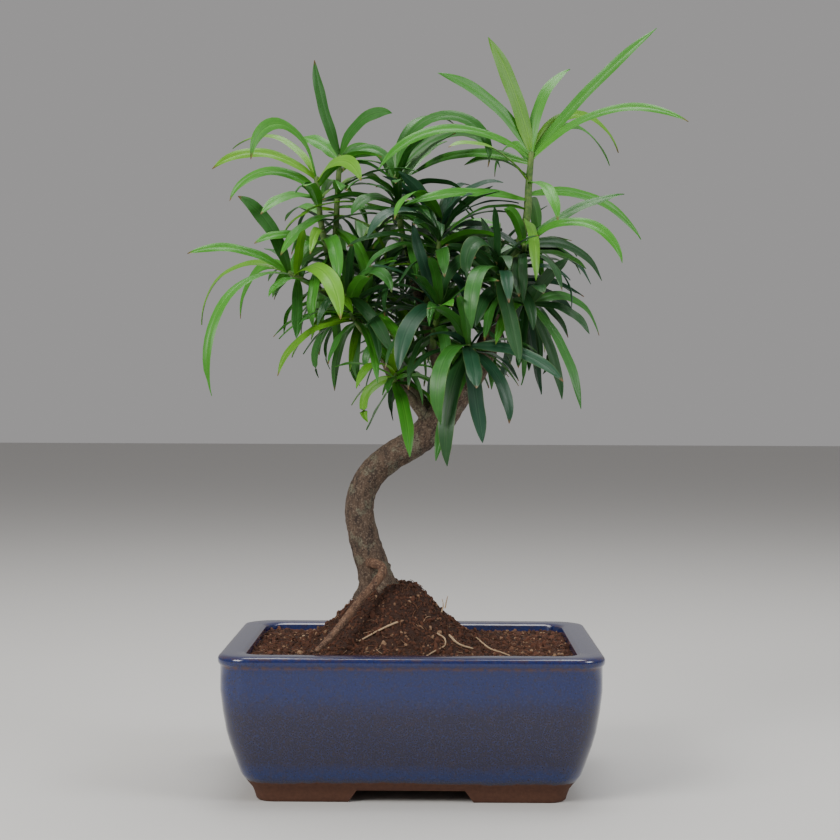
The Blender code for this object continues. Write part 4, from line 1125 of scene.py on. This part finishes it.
# How many shares of each green the leaves of a spray get. The brighter greens go to the sprays at the left
# and top, and the deep and bluish ones to those at the front, right and middle. This is partly new growth
# at the top, partly painted light on the left and painted shade at the front, right and middle.
SPRAY_GREENS = {
    "foliage_top": (4, 5, 1, 0, 0),
    "foliage_upper_left": (1, 5, 2, 0, 0),
    "foliage_far_left_upper": (2, 5, 2, 0, 0),
    "foliage_far_left": (2, 6, 1, 0, 0),
    "foliage_left": (1, 3, 4, 2, 0),
    "foliage_low_left": (3, 4, 2, 0, 0),
    "foliage_centre_left": (0, 1, 3, 3, 2),
    "foliage_centre": (0, 1, 3, 4, 2),
    "foliage_upper_middle": (1, 2, 4, 2, 0),
    "foliage_front": (0, 0, 2, 3, 5),
    "foliage_front_right": (0, 0, 2, 4, 4),
    "foliage_right": (0, 1, 3, 4, 2),
    "foliage_upper_right": (0, 1, 4, 3, 1),
    "foliage_back_left": (1, 2, 4, 3, 0),
    "foliage_back_low": (1, 2, 4, 3, 0),
    "foliage_back_right": (1, 2, 4, 3, 1),
    "foliage_back_middle": (1, 2, 4, 3, 1),
}
LEAF_PIECES = {
    "leaves_left": ("foliage_far_left_upper", "foliage_upper_left", "foliage_far_left", "foliage_left",
                    "foliage_low_left"),
    "leaves_middle": ("foliage_centre_left", "foliage_centre", "foliage_upper_middle", "foliage_front"),
    "leaves_right": ("foliage_top", "foliage_front_right", "foliage_right", "foliage_upper_right"),
    "leaves_back": ("foliage_back_left", "foliage_back_low", "foliage_back_right", "foliage_back_middle"),
}


def shoot_path(shoot):
    first, last = shoot["thick"]
    steps = len(shoot["stem"]) - 1
    return tuple((point, first + (last - first) * i / steps) for i, point in enumerate(shoot["stem"]))


def point_along(points, share):
    """The point at a share of the length of a chain of points."""
    points = [Vector(point) for point in points]
    lengths = [(b - a).length for a, b in zip(points, points[1:])]
    left = share * sum(lengths)
    for a, b, length in zip(points, points[1:], lengths):
        if left <= length:
            return a.lerp(b, left / length)
        left -= length
    return points[-1]


def blade_share(share):
    """Width of a leaf at a share of its length, as a part of its full width."""
    opening = min(share / LEAF_OPENS_OVER, 1.0)
    closing = min((1.0 - share) / LEAF_CLOSES_OVER, 1.0)
    wide = LEAF_FOOT_SHARE + (1 - LEAF_FOOT_SHARE) * math.sin(opening * math.pi / 2)
    return wide * math.sin(closing * math.pi / 2) ** LEAF_TIP_POWER


def leaf_spine(base, bearing, rise, length, droop):
    """Place and direction at fine steps along the leaf, bending in an upright plane."""
    level = Vector((math.cos(math.radians(bearing)), math.sin(math.radians(bearing)), 0))
    place = base.copy()
    spine = []
    for step in range(SPINE_STEPS + 1):
        slope = math.radians(rise - droop * (step / SPINE_STEPS) ** DROOP_POWER)
        ahead = level * math.cos(slope) + Vector((0, 0, math.sin(slope)))
        spine.append((place.copy(), ahead))
        place += ahead * (length / SPINE_STEPS)
    return spine


def blade_axes(ahead, bearing, roll):
    """The directions across the blade and out of its upper face."""
    across = Vector((-math.sin(math.radians(bearing)), math.cos(math.radians(bearing)), 0))
    up = ahead.cross(across)
    if up.z < 0 and abs(ahead.z) < UPRIGHT_LEAF:
        up = -up
    turn = math.radians(roll)
    return across * math.cos(turn) + up * math.sin(turn), up * math.cos(turn) - across * math.sin(turn)


def coarse_rings(spine, bearing, width, roll, from_share=0.0, grown=0.0):
    """Three-sided sections of the blade, for the tests of what is free."""
    length = sum((b[0] - a[0]).length for a, b in zip(spine, spine[1:]))
    sections = PLAIN_SECTIONS + max(0, round((length - LONGEST_PLAIN_LEAF) / SECTION_LENGTH))
    middle = [i / (sections - LAST_GAP) for i in range(1, sections)]
    rings = []
    for share in (from_share, *(share for share in middle if share > from_share + SECTION_GAP), 1.0):
        place, ahead = spine[round(share * (len(spine) - 1))]
        side, face = blade_axes(ahead, bearing, roll)
        half = max(width * blade_share(share), LEAST_TESTED_WIDTH) / 2 + grown
        thick = LEAF_THICKNESS * (TIP_THICKNESS if share == 1.0 else 1.0) + grown
        rings.append([place + side * half + face * grown, place - face * thick,
                      place - side * half + face * grown])
    return rings


class Space:
    """What already fills the crown: a search tree and a box for each solid, with the spray that owns it."""

    def __init__(self):
        self.taken = []

    def add(self, owner, points, faces):
        low = [min(point[axis] for point in points) for axis in range(3)]
        high = [max(point[axis] for point in points) for axis in range(3)]
        self.taken.append((owner, low, high, BVHTree.FromPolygons(points, faces)))

    def is_free(self, points, faces, skipped_owner=None, only_owner=None):
        low = [min(point[axis] for point in points) for axis in range(3)]
        high = [max(point[axis] for point in points) for axis in range(3)]
        tree = None
        for owner, other_low, other_high, other in self.taken:
            if owner == skipped_owner or (only_owner and owner != only_owner):
                continue
            if any(low[a] > other_high[a] or high[a] < other_low[a] for a in range(3)):
                continue
            tree = tree or BVHTree.FromPolygons(points, faces)
            if tree.overlap(other):
                return False
        return True


def inside_crown(spine):
    """Whether a leaf's outer half stays in the rounded space of the crown."""
    for place, ahead in spine[len(spine) // 2:]:
        offset = place - CROWN_CENTRE
        share = Vector((offset.x / CROWN_HALF.x, offset.y / CROWN_HALF.y, offset.z / CROWN_HALF.z))
        if share.length > 1.0:
            return False
    return True


def place_leaf(space, siblings, name, row, stem, clearance, must_stay):
    """Try the leaf at its bearing, then turned to either side, and keep the first that is clear."""
    along, bearing, rise, length, droop, width, roll = row
    base = point_along(stem, along)
    for turn in TURNS_TRIED:
        turned = bearing + turn
        spine = leaf_spine(base, turned, rise, length, droop)
        if must_stay and not inside_crown(spine):
            continue
        whole = ring_data(coarse_rings(spine, turned, width, roll, grown=clearance))
        blade = ring_data(coarse_rings(spine, turned, width, roll, SIBLING_FREE_FROM, clearance / 2))
        if not space.is_free(*whole, skipped_owner=name) or not siblings.is_free(*blade, only_owner=name):
            continue
        space.add(name, *ring_data(coarse_rings(spine, turned, width, roll)))
        siblings.add(name, *ring_data(coarse_rings(spine, turned, width, roll, SIBLING_FREE_FROM)))
        return spine, turned, width, roll
    return None


def rule_leaves(shoot, count, seed, slimness):
    """Leaves in a spiral up the stem: low ones spread and hang, high ones stand up."""
    chance = random.Random(seed)
    start = chance.uniform(0, 360)
    for i in range(count):
        climb = (i + 0.5) / count
        along = LOWEST_LEAF + (1 - LOWEST_LEAF) * climb
        bearing = start + GOLDEN_ANGLE * i
        rise = LOW_RISE + RISE_GAIN * climb ** RISE_POWER + chance.uniform(-RISE_STRAY, RISE_STRAY)
        length = shoot["size"] * (LOW_LENGTH - LENGTH_LOSS * climb) * chance.uniform(*LENGTH_STRAY)
        droop = chance.uniform(*DROOPS) * (LOW_DROOP - DROOP_LOSS * climb)
        width = chance.uniform(*WIDTHS) * slimness
        roll = chance.uniform(-ROLL_STRAY, ROLL_STRAY)
        yield along, bearing, rise, length, droop, width, roll


def no_relief(turn, run, share, radius):
    return 0.0


def placed_leaves():
    """Every leaf of each spray: those of the outline, those of the rule, and finer ones between."""
    space = Space()
    siblings = Space()
    limbs = {"trunk": TRUNK, "bare_root": BARE_ROOT, **BOUGHS}
    limbs.update({name: shoot_path(shoot) for name, shoot in SHOOTS.items()})
    for name, path in limbs.items():
        space.add(name, *ring_data(limb_rings(path, *PLAIN_FINENESS, no_relief)))
    leaves = {name: [] for name in SHOOTS}

    def place_all(name, rows, clearance, must_stay):
        for row in rows:
            stem = SHOOTS[name]["stem"]
            leaf = place_leaf(space, siblings, name, row, stem, clearance, must_stay)
            if leaf:
                leaves[name].append(leaf)

    for name, shoot in SHOOTS.items():
        place_all(name, shoot["reach"], LEAF_CLEARANCE, False)
    for name, shoot in SHOOTS.items():
        rows = rule_leaves(shoot, shoot["leaves"], shoot["seed"], 1.0)
        place_all(name, rows, LEAF_CLEARANCE, True)
    for name, shoot in SHOOTS.items():
        count = round(shoot["leaves"] * EXTRA_LEAVES)
        rows = rule_leaves(shoot, count, shoot["seed"] + EXTRA_SEED, EXTRA_SLIMNESS)
        place_all(name, rows, EXTRA_CLEARANCE, True)
    return leaves


def fine_blade(spine, bearing, width, roll, wave):
    """Sections of the finished blade, and where each of their points lies across and along it."""
    rings = []
    marks = []
    steps = len(spine) - 1
    for section in range(BLADE_SECTIONS + 1):
        share = 1 - (1 - section / BLADE_SECTIONS) ** BLADE_BUNCHING
        whole = min(int(share * steps), steps - 1)
        part = share * steps - whole
        place = spine[whole][0].lerp(spine[whole + 1][0], part)
        ahead = spine[whole][1].lerp(spine[whole + 1][1], part).normalized()
        side, face = blade_axes(ahead, bearing, roll)
        half = max(width * blade_share(min(share, FINEST_SHARE)), LEAST_WIDTH) / 2
        keel = BLADE_KEEL * (KEEL_AT_TIP + (1 - KEEL_AT_TIP) * min(1.0, (1 - share) / KEEL_FADE))
        ripple = RIPPLE_HEIGHT * math.sin(share * RIPPLE_PITCH + wave)
        ring = []
        for across, height in BLADE_OUTLINE:
            rise = height * keel + ripple * across * across
            ring.append(place + side * half * across + face * rise)
            marks.append(((across + 1) / 2, share))
        rings.append(ring)
    return rings, marks


def tinted(colour, shares, lift=(0.0, 0.0, 0.0)):
    """The colour with each of its parts scaled and then lifted."""
    return (*(part * share + more for part, share, more in zip(colour, shares, lift)), 1.0)


def leaf_material(name, colour):
    """Waxy leaf with painted light and shade: a shaded and a lit copy of its green, painted shade in the
    hollow along the midrib, a pale double line by the midrib, a thin yellow edge, brown tips on old leaves.
    """
    tint = {key: tinted(colour, *facts) for key, facts in LEAF_TINTS.items()}
    material, tree, shader = new_material(name, Specular_IOR_Level=0.32)
    place = object_place(tree)
    across, along = split(tree, node(tree, "ShaderNodeUVMap", {"uv_map": "blade"}))[:2]
    age = node(tree, "ShaderNodeAttribute", {"attribute_name": "age"}, output=2)
    from_rib = abs(across * 2.0 - 1.0)
    blotch = grain(tree, place, 260.0)
    # Painted shade and light: each leaf goes between the shaded and the lit copy of its green by a cloudy
    # noise and its own number.
    green = mixed(tree, (blotch * 0.6 + age * 0.5).held(), tint["shaded"], tint["lit"])
    green = mixed(tree, along.rise(0.30, 0.0) * 0.45, green, tint["foot"])
    line = (1.0 - abs(from_rib - 0.15) / 0.09).held()
    green = mixed(tree, line * 0.42, green, tint["line"])
    # Painted shade: the hollow along the midrib darkened.
    green = mixed(tree, from_rib.rise(0.07, 0.02) * 0.5, green, tint["painted_groove_shade"])
    green = mixed(tree, from_rib.rise(0.90, 0.99) * 0.3, green, LEAF_EDGE)
    tip = along.rise(0.945, 0.985) * age.rise(0.62, 0.72)
    green = mixed(tree, tip * 0.85, green, DRY_TIP)
    feed(tree, green, shader.inputs["Base Color"])
    feed(tree, 0.34 + blotch * 0.16, shader.inputs["Roughness"])
    add_bump(tree, shader, grain(tree, place, 1100.0, 2.0), 0.12, 0.0003)
    return material


def twig_material():
    material, tree, shader = new_material("green_twig", Roughness=0.65)
    cloud = grain(tree, object_place(tree), 500.0)
    feed(tree, mixed(tree, cloud.rise(0.4, 0.6), *TWIG_GREENS), shader.inputs["Base Color"])
    return material


def leaf_mesh(name, sprays, leaves):
    """All the leaves of some sprays as one mesh, each with one green and its own number, which sets its dry
    tip and how much painted light it gets.
    """
    blades, greens, ages_and_lights, marks = [], [], [], []
    for spray in sprays:
        chance = random.Random(spray)
        for leaf in leaves[spray]:
            rings, blade_marks = fine_blade(*leaf, chance.uniform(0, FULL_TURN))
            blades.append(rings)
            marks += blade_marks
            greens += chance.choices(range(len(LEAF_GREENS)), SPRAY_GREENS[spray]) * BLADE_FACES
            ages_and_lights += [chance.random()] * len(blade_marks)
    mesh = closed_mesh(name, *gathered(blades))
    mesh.polygons.foreach_set("material_index", greens)
    mesh.attributes.new("age", "FLOAT", "POINT").data.foreach_set("value", ages_and_lights)
    flat = [part for loop in mesh.loops for part in marks[loop.vertex_index]]
    mesh.uv_layers.new(name="blade").data.foreach_set("uv", flat)
    return smoothed(mesh, sharp_over=65)


def make_leaves():
    leaves = placed_leaves()
    materials = [leaf_material(name, colour) for name, colour in LEAF_GREENS.items()]
    for name, sprays in LEAF_PIECES.items():
        add_piece(name, leaf_mesh(name, sprays, leaves), sprays, materials)
    stems = [limb_rings(shoot_path(shoot), *TWIG_FINENESS, root_relief) for shoot in SHOOTS.values()]
    add_piece("twigs", joined("twigs", stems), list(SHOOTS), [twig_material()])


make_leaves()

# End

size_lists = [[list(corner) for corner in box] for box in (solid_bounds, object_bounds())]
